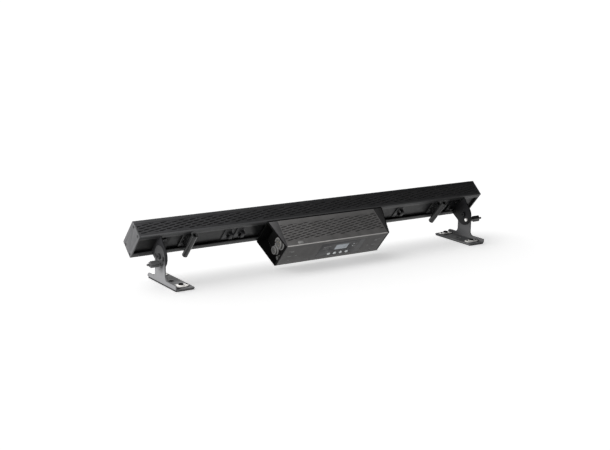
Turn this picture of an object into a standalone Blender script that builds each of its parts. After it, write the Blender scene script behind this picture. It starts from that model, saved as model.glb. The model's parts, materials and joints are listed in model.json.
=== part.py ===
"""LED strip batten: a one metre lamp bar on two tilting feet, with a power supply box on its back.

Lengths below are in millimetres and become metres as each mesh is made.

The batten's own frame has X along the bar, Y across its back towards the lower edge and Z out of
the lens, with Z = 0 on the rear face. The feet's frame is level, with its origin on the tilt axis.
"""

import math

import bmesh
import bpy
from mathutils import Vector

MM = 0.001
GAP = 0.3

# Driving dimensions
LENGTH = 1000.0
WIDTH = 78.0
DEPTH = 47.0
LENS_ELEVATION = 41.54
PIVOT_HEIGHT = 64.9
PIVOT_BEHIND = 31.0
BOX_DEPTH = 78.5
FOOT_OUTSIDE = 450.0

HALF = WIDTH / 2
WALL = 2.5
BACK_RADIUS = 2.0
FRONT_RADIUS = 2.5
CAP_THICKNESS = 3.5
BODY_END = LENGTH / 2 - CAP_THICKNESS - GAP

# The channel along the back: two lips over a slot, and the web that is its floor
LIP_INSIDE = 26.0
LIP_THICKNESS = 2.5
WEB_BACK = 6.0
WEB_FRONT = 8.5
CABLE_WINDOW = (20.0, 15.0)

# The front: a bezel that holds the window on its gasket
BEZEL_BACK = 38.0
NOTCH = 1.0
SEAT = (490.0, 34.0)
SIGHT = (486.0, 31.0)
SEAT_TOP = 45.2
WINDOW_THICKNESS = 2.4
GASKET_THICKNESS = 1.6

# Lamps
LENSES_PER_SIDE = 9
LENS_RADIUS = 22.0
LENS_SIDES = 10
LENS_PLATE = (33.0, 35.0)

# The power supply box
BOX_BASE = 3.1
SHELL_BASE_HALF = 141.0
SHELL_OUTER_HALF = 146.5
HOOD_BASE_HALF = 168.0
HOOD_OUTER_HALF = 151.0
BOX_RADIUS = 2.0
CONNECTOR_FACE = 138.0
PANEL_X = (-42.0, 87.0)
PANEL_Y = (-26.0, 27.0)
PANEL_INSIDE = -76.3
DISPLAY_X = (4.0, 42.0)
DISPLAY_Y = (-15.0, 5.0)
BUTTON_FIRST_X = -4.5
BUTTON_PITCH = 17.6
BUTTON_Y = 19.0
BUTTON_RADIUS = 4.5
BUTTON_SIDES = 16

# Name: the side it is on, its centre across and behind, its flange, barrel, bore and depth
CONNECTORS = {
    "power_inlet": (-1, (-8.0, -46.0), 17.0, 14.0, 10.5, 8.5),
    "power_outlet": (1, (-8.0, -46.0), 17.0, 14.0, 10.5, 8.5),
    "data_socket_in": (-1, (21.5, -45.0), 12.0, 10.0, 7.5, 7.5),
    "data_socket_out": (1, (21.5, -45.0), 12.0, 10.0, 7.5, 7.5),
    "fuse_holder": (-1, (22.0, -67.5), 6.5, 5.0, 0.0, 0.0),
}
CONNECTOR_BEHIND = 14.0
FLANGE = 2.5

# What hangs on the back
TUBE_X = 366.0
TUBE_BEHIND = 12.5
TUBE_RADIUS = 7.0
TUBE_BORE = 4.25
CLIPS = {"left_outer": -260.0, "left_inner": -228.0, "right": 246.0}
CLIP_LENGTH = 23.0

# Yokes, in the batten's frame but measured from the tilt axis
YOKE_OUTSIDE = 446.7
SHEET = 3.0
YOKE_RADIUS = 28.0
YOKE_ROOT_HALF = 33.0
YOKE_FOOT_INSIDE = 414.0
YOKE_SCREW = (430.0, 16.0)
CLAMP_RADIUS = 18.5
PIVOT_RADIUS = 4.0
STUD_RADIUS = 2.9
STUD_REACH = {"left": 39.0, "right": 44.0}
KNOB_OUT = {"left": 0.0, "right": 3.0}
KNOB_LENGTH = 31.0
HUB_RADIUS = 6.0
GRIP_RADIUS = 8.2
GRIP_LOBES = 5
GRIP_FLUTE = 1.0
BOLT_HEAD = 4.0

# Feet, in the level frame
ARM_HALF = 25.0
FOOT_NEAR = -78.0
FOOT_FAR = 64.0
FOOT_INSIDE = 402.0
PAD_THICKNESS = 2.0
PAD_TOP = -PIVOT_HEIGHT + PAD_THICKNESS
PLATE_BACK = PAD_TOP + GAP
PLATE_TOP = PLATE_BACK + SHEET
FLANGE_TOP = -PIVOT_HEIGHT + 13.0
ARM_FILLET = 10.0
FLANGE_RADIUS = 8.0
HANGING_HOLE = (425.0, -7.0)
HANGING_RADIUS = 6.5
PIN_HOLE = (437.0, -7.0)
PIN_RADIUS = 2.1
LOCK_X = 426.0
LOCKS = {"near": -56.0, "far": 49.0}
LOCK_STUD_RADIUS = 3.8

SIDES = {"left": -1, "right": 1}
ROUND = 24
SMALL_ROUND = 12
TUBE_SIDES = 20
CAM_SIDES = 16

# Name: base colour, roughness, metallic
MATERIALS = {
    "black_paint": ((0.022, 0.022, 0.024), 0.55, 0.1),
    "foot_paint": ((0.045, 0.045, 0.048), 0.5, 0.1),
    "panel_film": ((0.03, 0.03, 0.033), 0.4, 0.0),
    "clear_plastic": ((0.7, 0.72, 0.75), 0.25, 0.0),
    "lens_plastic": ((0.85, 0.87, 0.9), 0.1, 0.0),
    "circuit_board": ((0.02, 0.1, 0.05), 0.5, 0.0),
    "white_board": ((0.8, 0.8, 0.78), 0.5, 0.0),
    "rubber": ((0.015, 0.015, 0.016), 0.85, 0.0),
    "black_plastic": ((0.02, 0.02, 0.022), 0.5, 0.0),
    "grey_plastic": ((0.3, 0.3, 0.31), 0.45, 0.0),
    "button_plastic": ((0.55, 0.57, 0.58), 0.4, 0.0),
    "display_glass": ((0.5, 0.58, 0.62), 0.2, 0.0),
    "zinc": ((0.75, 0.73, 0.7), 0.3, 1.0),
    "black_zinc": ((0.08, 0.08, 0.085), 0.4, 0.8),
}


def clear_scene():
    for thing in list(bpy.data.objects):
        bpy.data.objects.remove(thing, do_unlink=True)


def make_material(name):
    colour, roughness, metallic = MATERIALS[name]
    material = bpy.data.materials.new(name)
    material.use_nodes = True
    shader = material.node_tree.nodes["Principled BSDF"]
    shader.inputs["Base Color"].default_value = (*colour, 1.0)
    shader.inputs["Roughness"].default_value = roughness
    shader.inputs["Metallic"].default_value = metallic
    return material


def make_empty(name, location, tilt=0.0, parent=None):
    """An empty on a joint's axis, or at the origin of a frame. Tilt is about X, in degrees."""
    empty = bpy.data.objects.new(name, None)
    empty.location = Vector(location) * MM
    empty.rotation_euler.x = math.radians(tilt)
    empty.parent = parent
    bpy.context.collection.objects.link(empty)
    return empty


def make_object(name, shape, material, parent, location=(0, 0, 0)):
    """A node from a bmesh in millimetres, placed under its parent."""
    bmesh.ops.scale(shape, vec=(MM, MM, MM), verts=shape.verts)
    mesh = bpy.data.meshes.new(name)
    shape.to_mesh(mesh)
    shape.free()
    mesh.shade_smooth()
    mesh.set_sharp_from_angle(angle=math.radians(30))
    mesh.materials.append(make_material(material))
    node = bpy.data.objects.new(name, mesh)
    node.location = Vector(location) * MM
    node.parent = parent
    bpy.context.collection.objects.link(node)
    return node


def combine(node, shape, operation="DIFFERENCE"):
    """Cuts a shape from a node, or unites or intersects them. The shape is in the node's frame."""
    bmesh.ops.scale(shape, vec=(MM, MM, MM), verts=shape.verts)
    mesh = bpy.data.meshes.new(node.name + "_tool")
    shape.to_mesh(mesh)
    shape.free()
    tool = bpy.data.objects.new(mesh.name, mesh)
    tool.location = node.location
    tool.parent = node.parent
    tool.hide_render = True
    tool.display_type = "WIRE"
    bpy.context.collection.objects.link(tool)
    modifier = node.modifiers.new(operation.lower(), "BOOLEAN")
    modifier.object = tool
    modifier.operation = operation
    modifier.solver = "EXACT"


def arc(centre, radius, start, end, steps=6):
    """Points along an arc, from the start angle to the end angle in degrees."""
    points = []
    for i in range(steps + 1):
        angle = math.radians(start + (end - start) * i / steps)
        points.append((centre[0] + radius * math.cos(angle), centre[1] + radius * math.sin(angle)))
    return points


def circle(centre, radius, steps=ROUND):
    return arc(centre, radius, 0, 360 - 360 / steps, steps - 1)


def mirrored(half):
    """A whole outline from its half at positive Y, which starts and ends off the centre line."""
    return half + [(-a, b) for a, b in reversed(half)]


def sided(outline, side):
    """An outline drawn for the right side, turned over for the left."""
    return [(a * side, b) for a, b in outline]


def prism(outline, axis, low, high):
    """An outline drawn across an axis, extruded along it. The outline's order of axes is XYZ's."""

    def place(point, height):
        place_of_axis = "XYZ".index(axis)
        corner = list(point)
        corner.insert(place_of_axis, height)
        return corner

    shape = bmesh.new()
    bottom = [shape.verts.new(place(point, low)) for point in outline]
    top = [shape.verts.new(place(point, high)) for point in outline]
    shape.faces.new(bottom)
    shape.faces.new(top)
    for i, corner in enumerate(bottom):
        j = (i + 1) % len(bottom)
        shape.faces.new((corner, bottom[j], top[j], top[i]))
    bmesh.ops.recalc_face_normals(shape, faces=shape.faces)
    return shape


def block(x, y, z):
    """A box from its three ranges."""
    outline = [(x[0], y[0]), (x[1], y[0]), (x[1], y[1]), (x[0], y[1])]
    return prism(outline, "Z", *z)


def turned(profile, segments=ROUND, axis="Z", centre=(0, 0), lobes=0, lobe_depth=0.0, lobed_from=0.0):
    """A closed profile of (radius, height) turned about an axis through centre.

    Points further out than lobed_from are fluted into the given number of lobes.
    """
    shape = bmesh.new()
    place_of_axis = "XYZ".index(axis)

    def place(radius, height, angle):
        if lobes and radius > lobed_from:
            radius += lobe_depth * math.cos(lobes * angle)
        corner = [centre[0] + radius * math.cos(angle), centre[1] + radius * math.sin(angle)]
        corner.insert(place_of_axis, height)
        return shape.verts.new(corner)

    rings = []
    for radius, height in profile:
        count = segments if radius else 1
        rings.append([place(radius, height, math.tau * i / segments) for i in range(count)])
    for first, second in zip(rings, rings[1:] + rings[:1]):
        if len(first) == len(second) == 1:
            continue
        for i in range(segments):
            j = (i + 1) % segments
            corners = (
                first[i % len(first)],
                first[j % len(first)],
                second[j % len(second)],
                second[i % len(second)],
            )
            shape.faces.new(list(dict.fromkeys(corners)))
    bmesh.ops.recalc_face_normals(shape, faces=shape.faces)
    return shape


def flipped(profile, side):
    return [(radius, height * side) for radius, height in profile]


def span(low, high, side):
    """A range along X for one side, lowest first."""
    return tuple(sorted((low * side, high * side)))


# The bar


def body_extrusion(batten):
    side_top = BEZEL_BACK - GAP
    inside = HALF - WALL
    half = [(inside, WEB_FRONT), (inside, side_top), (HALF, side_top)]
    half += arc((HALF - BACK_RADIUS, BACK_RADIUS), BACK_RADIUS, 0, -90, 4)
    half += [
        (LIP_INSIDE, 0.0),
        (LIP_INSIDE, LIP_THICKNESS),
        (inside, LIP_THICKNESS),
        (inside, WEB_BACK),
    ]
    shape = prism(mirrored(half), "X", -BODY_END, BODY_END)
    node = make_object("body_extrusion", shape, "black_paint", batten)
    window = [(-size, size) for size in CABLE_WINDOW]
    combine(node, block(*window, (WEB_BACK - 1, WEB_FRONT + 1)))


def front_half(low):
    """Half the bezel's section, with its front edge rounded."""
    return [(HALF, low)] + arc((HALF - FRONT_RADIUS, DEPTH - FRONT_RADIUS), FRONT_RADIUS, 0, 90, 4)


def end_caps(batten):
    half = arc((HALF - BACK_RADIUS, BACK_RADIUS), BACK_RADIUS, -90, 0, 4)
    half += [
        (HALF, BEZEL_BACK - NOTCH),
        (HALF - NOTCH, BEZEL_BACK - NOTCH),
        (HALF - NOTCH, BEZEL_BACK),
    ]
    outline = mirrored(half + front_half(BEZEL_BACK))
    for name, side in SIDES.items():
        shape = prism(outline, "X", *span(BODY_END + GAP, LENGTH / 2, side))
        make_object(f"end_cap_{name}", shape, "black_paint", batten)


def bezel_and_window(batten):
    shape = prism(mirrored(front_half(BEZEL_BACK)), "X", -BODY_END, BODY_END)
    node = make_object("front_bezel", shape, "black_paint", batten)
    seat = [(-size, size) for size in SEAT]
    sight = [(-size, size) for size in SIGHT]
    combine(node, block(*seat, (BEZEL_BACK - 1, SEAT_TOP)))
    combine(node, block(*sight, (SEAT_TOP - 1, DEPTH + 1)))
    window_top = SEAT_TOP - GAP
    window_back = window_top - WINDOW_THICKNESS
    gasket_top = window_back - GAP
    plate = [(-size + GAP, size - GAP) for size in SEAT]
    make_object("front_window", block(*plate, (window_back, window_top)), "clear_plastic", batten)
    gasket_back = gasket_top - GASKET_THICKNESS
    gasket = make_object("window_gasket", block(*plate, (gasket_back, gasket_top)), "rubber", batten)
    combine(gasket, block(*sight, (gasket_back - 1, gasket_top + 1)))


def lamps(batten):
    board_back = WEB_FRONT + GAP
    board_front = board_back + 1.6
    inner = 1.0
    outer = SIGHT[0] - 1
    pitch = (outer - inner) / LENSES_PER_SIDE
    for name, side in SIDES.items():
        board = block(span(inner, outer, side), (-33, 33), (board_back, board_front))
        make_object(f"led_board_{name}", board, "white_board", batten)
        plate = block(span(inner, outer, side), (-30, 30), LENS_PLATE)
        array = make_object(f"lens_array_{name}", plate, "lens_plastic", batten)
        for i in range(LENSES_PER_SIDE):
            centre = (side * (inner + pitch * (i + 0.5)), 0.0)
            cup = [
                (0.0, board_front + 1.2),
                (6.0, board_front + 1.2),
                (LENS_RADIUS, LENS_PLATE[0] + 0.5),
                (LENS_RADIUS, LENS_PLATE[1] + 1.5),
                (0.0, LENS_PLATE[1] + 2.5),
            ]
            combine(array, turned(cup, LENS_SIDES, centre=centre), "UNION")


# The power supply box


def box_section():
    """The box's open section: two sides and the outer wall between them."""
    inside = HALF - WALL
    half = [(inside, -BOX_BASE), (HALF, -BOX_BASE)]
    half += arc((HALF - BOX_RADIUS, BOX_RADIUS - BOX_DEPTH), BOX_RADIUS, 0, -90, 4)
    other = [(-a, b) for a, b in reversed(half)]
    hollow = [(-inside, -BOX_BASE), (-inside, WALL - BOX_DEPTH), (inside, WALL - BOX_DEPTH)]
    return half + other[:-1] + hollow


def power_box(batten):
    length = HOOD_BASE_HALF + 10
    shell = [
        (-SHELL_BASE_HALF, 0),
        (SHELL_BASE_HALF, 0),
        (SHELL_OUTER_HALF, -BOX_DEPTH),
        (SHELL_OUTER_HALF, -BOX_DEPTH - 5),
        (-SHELL_OUTER_HALF, -BOX_DEPTH - 5),
        (-SHELL_OUTER_HALF, -BOX_DEPTH),
    ]
    housing = prism(box_section(), "X", -length, length)
    node = make_object("psu_housing", housing, "black_paint", batten)
    combine(node, prism(shell, "Y", -HALF - 2, HALF + 2), "INTERSECT")
    hole_x = (PANEL_X[0] - GAP, PANEL_X[1] + GAP)
    hole_y = (PANEL_Y[0] - GAP, PANEL_Y[1] + GAP)
    combine(node, block(hole_x, hole_y, (-BOX_DEPTH - 5, WALL - BOX_DEPTH + 1)))

    hood = [
        (SHELL_BASE_HALF + GAP, 0),
        (HOOD_BASE_HALF, 0),
        (HOOD_BASE_HALF, -BOX_BASE),
        (HOOD_OUTER_HALF, -BOX_DEPTH),
        (HOOD_OUTER_HALF, -BOX_DEPTH - 5),
        (SHELL_OUTER_HALF + GAP, -BOX_DEPTH - 5),
        (SHELL_OUTER_HALF + GAP, -BOX_DEPTH),
    ]
    for name, side in SIDES.items():
        sheet = prism(box_section(), "X", *span(130, length, side))
        node = make_object(f"psu_hood_{name}", sheet, "black_paint", batten)
        combine(node, prism(sided(hood, side), "Y", -HALF - 2, HALF + 2), "INTERSECT")

    base_x = (-HOOD_BASE_HALF + 1, HOOD_BASE_HALF - 1)
    base = block(base_x, (-HALF, HALF), (-BOX_BASE + GAP, -GAP))
    node = make_object("psu_base_plate", base, "black_paint", batten)
    window = [(-size, size) for size in CABLE_WINDOW]
    combine(node, block(*window, (-BOX_BASE - 1, 1)))


def connector_plates(batten):
    for name, side in SIDES.items():
        x = span(CONNECTOR_FACE - 2, CONNECTOR_FACE, side)
        shape = block(x, (-HALF + WALL + GAP, HALF - WALL - GAP), (WALL - BOX_DEPTH + GAP, -BOX_BASE))
        node = make_object(f"connector_plate_{name}", shape, "black_paint", batten)
        for connector_side, centre, _, barrel, _, _ in CONNECTORS.values():
            if connector_side == side:
                hole = circle(centre, barrel - 1 + 2 * GAP)
                combine(node, prism(hole, "X", *span(CONNECTOR_FACE - 5, CONNECTOR_FACE + 5, side)))


def connectors(batten):
    for name, (side, centre, flange, barrel, bore, depth) in CONNECTORS.items():
        back = CONNECTOR_FACE - CONNECTOR_BEHIND
        face = CONNECTOR_FACE + GAP
        front = face + FLANGE + 6
        profile = [
            (0.0, back),
            (barrel - 1, back),
            (barrel - 1, face),
            (flange, face),
            (flange, face + FLANGE),
            (barrel, face + FLANGE),
            (barrel, front),
        ]
        if bore:
            profile += [(bore, front), (bore, front - depth)]
        profile.append((0.0, front - depth))
        shape = turned(flipped(profile, side), axis="X", centre=centre)
        make_object(name, shape, "grey_plastic" if bore else "black_plastic", batten)


def control_panel(batten):
    panel = block(PANEL_X, PANEL_Y, (-BOX_DEPTH, PANEL_INSIDE))
    node = make_object("control_panel", panel, "panel_film", batten)
    combine(node, block(DISPLAY_X, DISPLAY_Y, (-BOX_DEPTH - 1, PANEL_INSIDE + 1)))
    for i in range(4):
        x = BUTTON_FIRST_X + BUTTON_PITCH * i
        hole = circle((x, BUTTON_Y), BUTTON_RADIUS + GAP, SMALL_ROUND)
        combine(node, prism(hole, "Z", -BOX_DEPTH - 1, PANEL_INSIDE + 1))
        profile = [
            (0.0, -1.0),
            (BUTTON_RADIUS - 0.5, -1.0),
            (BUTTON_RADIUS, -0.5),
            (BUTTON_RADIUS, 2.6),
            (BUTTON_RADIUS + 1.5, 2.6),
            (BUTTON_RADIUS + 1.5, 3.6),
            (1.5, 3.6),
            (1.5, 7.5),
            (0.0, 7.5),
        ]
        button = turned(profile, BUTTON_SIDES)
        place = (x, BUTTON_Y, -BOX_DEPTH)
        make_object(f"menu_button_{i + 1}", button, "button_plastic", batten, place)

    pane = [(low + GAP, high - GAP) for low, high in (DISPLAY_X, DISPLAY_Y)]
    pane = block(*pane, (-BOX_DEPTH + 0.2, -BOX_DEPTH + 1.6))
    make_object("display_window", pane, "display_glass", batten)
    module = block((0, 46), (-19, 10), (PANEL_INSIDE + GAP, -71.0))
    make_object("display_module", module, "black_plastic", batten)
    board = block((-40, 85), (-24, 25), (-68.0, -66.4))
    make_object("control_board", board, "circuit_board", batten)


def power_boards(batten):
    board = block((-122, -4), (-30, 30), (-22.0, -20.4))
    node = make_object("power_supply_board", board, "circuit_board", batten)
    combine(node, block((-70, -30), (-18, 18), (-50, -21)), "UNION")
    combine(node, block((-112, -92), (-24, 24), (-44, -21)), "UNION")
    combine(node, prism(circle((-20, 12), 8, SMALL_ROUND), "Z", -44, -21), "UNION")

    board = block((6, 122), (-30, 30), (-22.0, -20.4))
    node = make_object("led_driver_board", board, "circuit_board", batten)
    for i in range(4):
        x = 20 + 24 * i
        combine(node, block((x, x + 14), (-8, 8), (-36, -21)), "UNION")


# What hangs on the back


def cross_tubes(batten):
    tube = [(TUBE_BORE, -HALF), (TUBE_RADIUS, -HALF), (TUBE_RADIUS, HALF), (TUBE_BORE, HALF)]
    for name, side in SIDES.items():
        x = side * TUBE_X
        shape = turned(tube, TUBE_SIDES, axis="Y", centre=(x, -TUBE_BEHIND))
        node = make_object(f"cross_tube_{name}", shape, "black_paint", batten)
        combine(node, block((x - 4, x + 4), (-20, 20), (-7.3, 4)), "UNION")
        foot = block((x - 18, x + 7), (-24, 24), (WEB_BACK - GAP - 2.8, WEB_BACK - GAP))
        combine(node, foot, "UNION")


def cable_clips(batten):
    floor = WEB_BACK - GAP
    half = [(20.0, floor), (20.0, floor - 2)]
    half += [(9.0, floor - 2)] + arc((5.0, -2.0), 4.0, 0, -90, 3)
    inner = [(6.5, floor)] + arc((5.0, -2.0), 1.5, 0, -90, 3)
    outline = mirrored(half)
    outline += [(-a, b) for a, b in inner] + list(reversed(inner))
    for name, x in CLIPS.items():
        shape = prism(outline, "X", x - CLIP_LENGTH / 2, x + CLIP_LENGTH / 2)
        make_object(f"cable_clip_{name}", shape, "black_plastic", batten)


# Yokes: each slides along the channel and carries a foot


def yoke(name, side, frame):
    """The yoke's arm stands on a foot that hooks under the channel's lips."""
    foot_back = PIVOT_BEHIND + LIP_THICKNESS + GAP
    foot_front = PIVOT_BEHIND + WEB_BACK - GAP
    neck = LIP_INSIDE - 1
    root = (YOKE_ROOT_HALF, PIVOT_BEHIND - 1)
    tangent = math.atan2(root[1], root[0]) - math.acos(YOKE_RADIUS / math.hypot(*root))
    half = [(neck, foot_front), (neck, root[1]), root]
    half += arc((0, 0), YOKE_RADIUS, math.degrees(tangent), -84, 14)
    arm_x = span(YOKE_OUTSIDE - SHEET, YOKE_OUTSIDE, side)
    shape = prism(mirrored(half), "X", *arm_x)
    node = make_object(f"{name}_yoke_arm", shape, "foot_paint", frame)
    foot_x = span(YOKE_FOOT_INSIDE, YOKE_OUTSIDE, side)
    foot_half = HALF - WALL - 1.3
    combine(node, block(foot_x, (-foot_half, foot_half), (foot_back, foot_front)), "UNION")
    through = span(YOKE_OUTSIDE - 10, YOKE_OUTSIDE + 10, side)
    combine(node, prism(circle((0, 0), PIVOT_RADIUS + 0.35), "X", *through))
    combine(node, prism(circle((0, -CLAMP_RADIUS), STUD_RADIUS + GAP, SMALL_ROUND), "X", *through))
    for place, across in (("upper", -1), ("lower", 1)):
        centre = (side * YOKE_SCREW[0], across * YOKE_SCREW[1])
        hole = circle(centre, 2.8, SMALL_ROUND)
        combine(node, prism(hole, "Z", foot_back - 2, foot_front + 2))
        screw = [
            (0.0, foot_back - GAP - 3.2),
            (4.5, foot_back - GAP - 3.2),
            (4.5, foot_back - GAP),
            (2.4, foot_back - GAP),
            (2.4, foot_front - 0.1),
            (0.0, foot_front - 0.1),
        ]
        shape = turned(screw, SMALL_ROUND, centre=centre)
        make_object(f"{name}_yoke_screw_{place}", shape, "zinc", frame)


def bolts(name, side, frame):
    """The pivot bolt and the clamp's stud both cross the yoke and the foot's arm."""
    inside = YOKE_OUTSIDE - SHEET - GAP
    outside = FOOT_OUTSIDE + GAP
    pivot = [
        (0.0, inside - BOLT_HEAD),
        (7.0, inside - BOLT_HEAD),
        (7.0, inside),
        (PIVOT_RADIUS, inside),
        (PIVOT_RADIUS, outside),
        (7.0, outside),
        (7.0, outside + BOLT_HEAD),
        (0.0, outside + BOLT_HEAD),
    ]
    make_object(f"{name}_pivot_bolt", turned(flipped(pivot, side), axis="X"), "black_zinc", frame)
    stud_end = FOOT_OUTSIDE + STUD_REACH[name]
    stud = [
        (0.0, inside - BOLT_HEAD),
        (4.5, inside - BOLT_HEAD),
        (4.5, inside),
        (STUD_RADIUS, inside),
        (STUD_RADIUS, stud_end - 1),
        (STUD_RADIUS - 1, stud_end),
        (0.0, stud_end),
    ]
    shape = turned(flipped(stud, side), SMALL_ROUND, axis="X", centre=(0, -CLAMP_RADIUS))
    make_object(f"{name}_clamp_stud", shape, "zinc", frame)


def clamp_knob(name, side, knob_axis):
    bore = STUD_RADIUS + GAP
    hub = FOOT_OUTSIDE + GAP + KNOB_OUT[name]
    grip = hub + 10.5
    grip_end = hub + KNOB_LENGTH
    profile = [
        (bore, hub),
        (HUB_RADIUS, hub),
        (HUB_RADIUS, grip - 1),
        (GRIP_RADIUS, grip + 1),
        (GRIP_RADIUS, grip_end - 1),
        (GRIP_RADIUS - 1, grip_end),
        (bore, grip_end),
    ]
    shape = turned(
        flipped(profile, side),
        6 * GRIP_LOBES,
        axis="X",
        lobes=GRIP_LOBES,
        lobe_depth=GRIP_FLUTE,
        lobed_from=HUB_RADIUS + 0.5,
    )
    make_object(f"{name}_clamp_knob", shape, "black_plastic", knob_axis)


# Feet: each turns on the pivot bolt and stands on the floor or takes a hanging clamp


def foot_bracket(name, side, foot):
    top = FLANGE_TOP + ARM_FILLET
    outline = [(FOOT_NEAR, PLATE_BACK), (FOOT_NEAR, FLANGE_TOP)]
    outline += arc((-ARM_HALF - ARM_FILLET, top), ARM_FILLET, -90, 0, 5)
    outline += arc((0, 0), ARM_HALF, 180, 0, 20)
    outline += arc((ARM_HALF + ARM_FILLET, top), ARM_FILLET, 180, 270, 5)
    outline += arc((FOOT_FAR - FLANGE_RADIUS, FLANGE_TOP - FLANGE_RADIUS), FLANGE_RADIUS, 90, 0, 5)
    outline += [(FOOT_FAR, PLATE_BACK)]
    plate_x = span(FOOT_OUTSIDE - SHEET, FOOT_OUTSIDE, side)
    node = make_object(f"{name}_foot_bracket", prism(outline, "X", *plate_x), "foot_paint", foot)
    base_x = span(FOOT_INSIDE, FOOT_OUTSIDE - SHEET / 2, side)
    combine(node, block(base_x, (FOOT_NEAR, FOOT_FAR), (PLATE_BACK, PLATE_TOP)), "UNION")

    through = span(FOOT_OUTSIDE - 10, FOOT_OUTSIDE + 10, side)
    combine(node, prism(circle((0, 0), PIVOT_RADIUS + 0.35), "X", *through))
    slot_half = STUD_RADIUS + 0.4
    slot = arc((0, 0), CLAMP_RADIUS + slot_half, 0, -180, 24)
    slot += arc((-CLAMP_RADIUS, 0), slot_half, 180, 0, 8)[1:-1]
    slot += arc((0, 0), CLAMP_RADIUS - slot_half, -180, 0, 18)
    slot += arc((CLAMP_RADIUS, 0), slot_half, 180, 0, 8)[1:-1]
    combine(node, prism(slot, "X", *through))

    holes = [(HANGING_HOLE, HANGING_RADIUS, ROUND), (PIN_HOLE, PIN_RADIUS, SMALL_ROUND)]
    holes += [((LOCK_X, y), LOCK_STUD_RADIUS + 0.4, SMALL_ROUND) for y in LOCKS.values()]
    for (x, y), radius, steps in holes:
        hole = circle((side * x, y), radius, steps)
        combine(node, prism(hole, "Z", PLATE_BACK - 2, PLATE_TOP + 2))


def foot_pad(name, side, foot):
    pad_x = span(FOOT_INSIDE + 1, FOOT_OUTSIDE - 1, side)
    pad = block(pad_x, (FOOT_NEAR + 1, FOOT_FAR - 1), (-PIVOT_HEIGHT, PAD_TOP))
    node = make_object(f"{name}_foot_pad", pad, "rubber", foot)
    x, y = HANGING_HOLE
    hole = circle((side * x, y), HANGING_RADIUS + 1, ROUND)
    combine(node, prism(hole, "Z", -PIVOT_HEIGHT - 2, PAD_TOP + 2))


def lock(name, side, foot, place):
    """A quarter-turn lock: a riveted plate and the slotted cam that turns in it."""
    x = side * LOCK_X
    y = LOCKS[place]
    half_length = 19.0
    half_width = 11.0
    straight = half_length - half_width
    outline = arc((x + straight, y), half_width, -90, 90, 8)
    outline += arc((x - straight, y), half_width, 90, 270, 8)
    plate_back = PLATE_TOP + GAP
    plate_top = plate_back + 2
    shape = prism(outline, "Z", plate_back, plate_top)
    node = make_object(f"{name}_lock_plate_{place}", shape, "zinc", foot)
    hole = circle((x, y), LOCK_STUD_RADIUS + 0.4, SMALL_ROUND)
    combine(node, prism(hole, "Z", plate_back - 1, plate_top + 1))

    cam_back = plate_top + GAP
    cam = [
        (0.0, PLATE_BACK + 0.5),
        (LOCK_STUD_RADIUS, PLATE_BACK + 0.5),
        (LOCK_STUD_RADIUS, cam_back),
        (8.0, cam_back),
        (8.0, cam_back + 1.5),
        (6.5, cam_back + 3.5),
        (0.0, cam_back + 3.5),
    ]
    node = make_object(f"{name}_lock_cam_{place}", turned(cam, CAM_SIDES), "zinc", foot, (x, y, 0))
    combine(node, block((-5.5, 5.5), (-1.4, 1.4), (cam_back + 1, cam_back + 5)))


def build():
    clear_scene()
    tilt = LENS_ELEVATION - 90
    across = math.cos(math.radians(tilt))
    forward = -math.sin(math.radians(tilt))
    nose = (HALF - FRONT_RADIUS) * across + (DEPTH - FRONT_RADIUS + PIVOT_BEHIND) * forward
    nose += FRONT_RADIUS
    pivot = (0, -(FOOT_NEAR + nose) / 2, PIVOT_HEIGHT)
    axis = make_empty("tilt_axis", pivot, tilt)
    batten = make_empty("batten_frame", (0, 0, PIVOT_BEHIND), 0.0, axis)

    body_extrusion(batten)
    end_caps(batten)
    bezel_and_window(batten)
    lamps(batten)
    power_box(batten)
    connector_plates(batten)
    connectors(batten)
    control_panel(batten)
    power_boards(batten)
    cross_tubes(batten)
    cable_clips(batten)
    for name, side in SIDES.items():
        frame = make_empty(f"{name}_yoke_slide", (0, 0, 0), 0.0, axis)
        yoke(name, side, frame)
        bolts(name, side, frame)
        knob_axis = make_empty(f"{name}_knob_axis", (0, 0, -CLAMP_RADIUS), 0.0, frame)
        clamp_knob(name, side, knob_axis)
        foot = make_empty(f"{name}_foot_pivot", (0, 0, 0), -tilt, frame)
        foot_bracket(name, side, foot)
        foot_pad(name, side, foot)
        for place in LOCKS:
            lock(name, side, foot, place)


build()
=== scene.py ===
"""The look of the LED strip batten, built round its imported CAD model.

Shapes are drawn in millimetres in one of two places: the batten's own frame, where X runs along the
bar, Y across its back to the lower edge and Z out of the lens, and each foot's level frame on the
tilt axis. Their sizes come from the CAD nodes, which extent() measures in the same frames.
"""

import json
import math

import bmesh
import bpy
from mathutils import Matrix, Vector


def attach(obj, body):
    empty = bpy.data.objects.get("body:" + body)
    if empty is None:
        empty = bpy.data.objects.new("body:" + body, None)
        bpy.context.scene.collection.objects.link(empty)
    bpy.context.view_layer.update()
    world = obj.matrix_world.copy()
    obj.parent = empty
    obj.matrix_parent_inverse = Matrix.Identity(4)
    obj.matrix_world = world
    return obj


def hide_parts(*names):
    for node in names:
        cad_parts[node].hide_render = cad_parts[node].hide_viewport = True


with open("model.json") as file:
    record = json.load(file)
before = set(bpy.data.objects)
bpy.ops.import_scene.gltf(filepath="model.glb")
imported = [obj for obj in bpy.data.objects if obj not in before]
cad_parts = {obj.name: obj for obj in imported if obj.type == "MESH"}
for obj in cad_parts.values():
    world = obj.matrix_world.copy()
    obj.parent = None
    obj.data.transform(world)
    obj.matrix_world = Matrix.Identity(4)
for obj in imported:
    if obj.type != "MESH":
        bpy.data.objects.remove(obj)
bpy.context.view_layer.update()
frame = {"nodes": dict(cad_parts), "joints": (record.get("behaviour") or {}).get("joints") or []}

MM = 0.001
JOINTS = {joint["name"]: joint for joint in frame["joints"]}
SIDES = {"left": -1, "right": 1}
ROUND = 64
FLAT = math.radians(0.5)
SHARP = math.radians(30)

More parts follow.
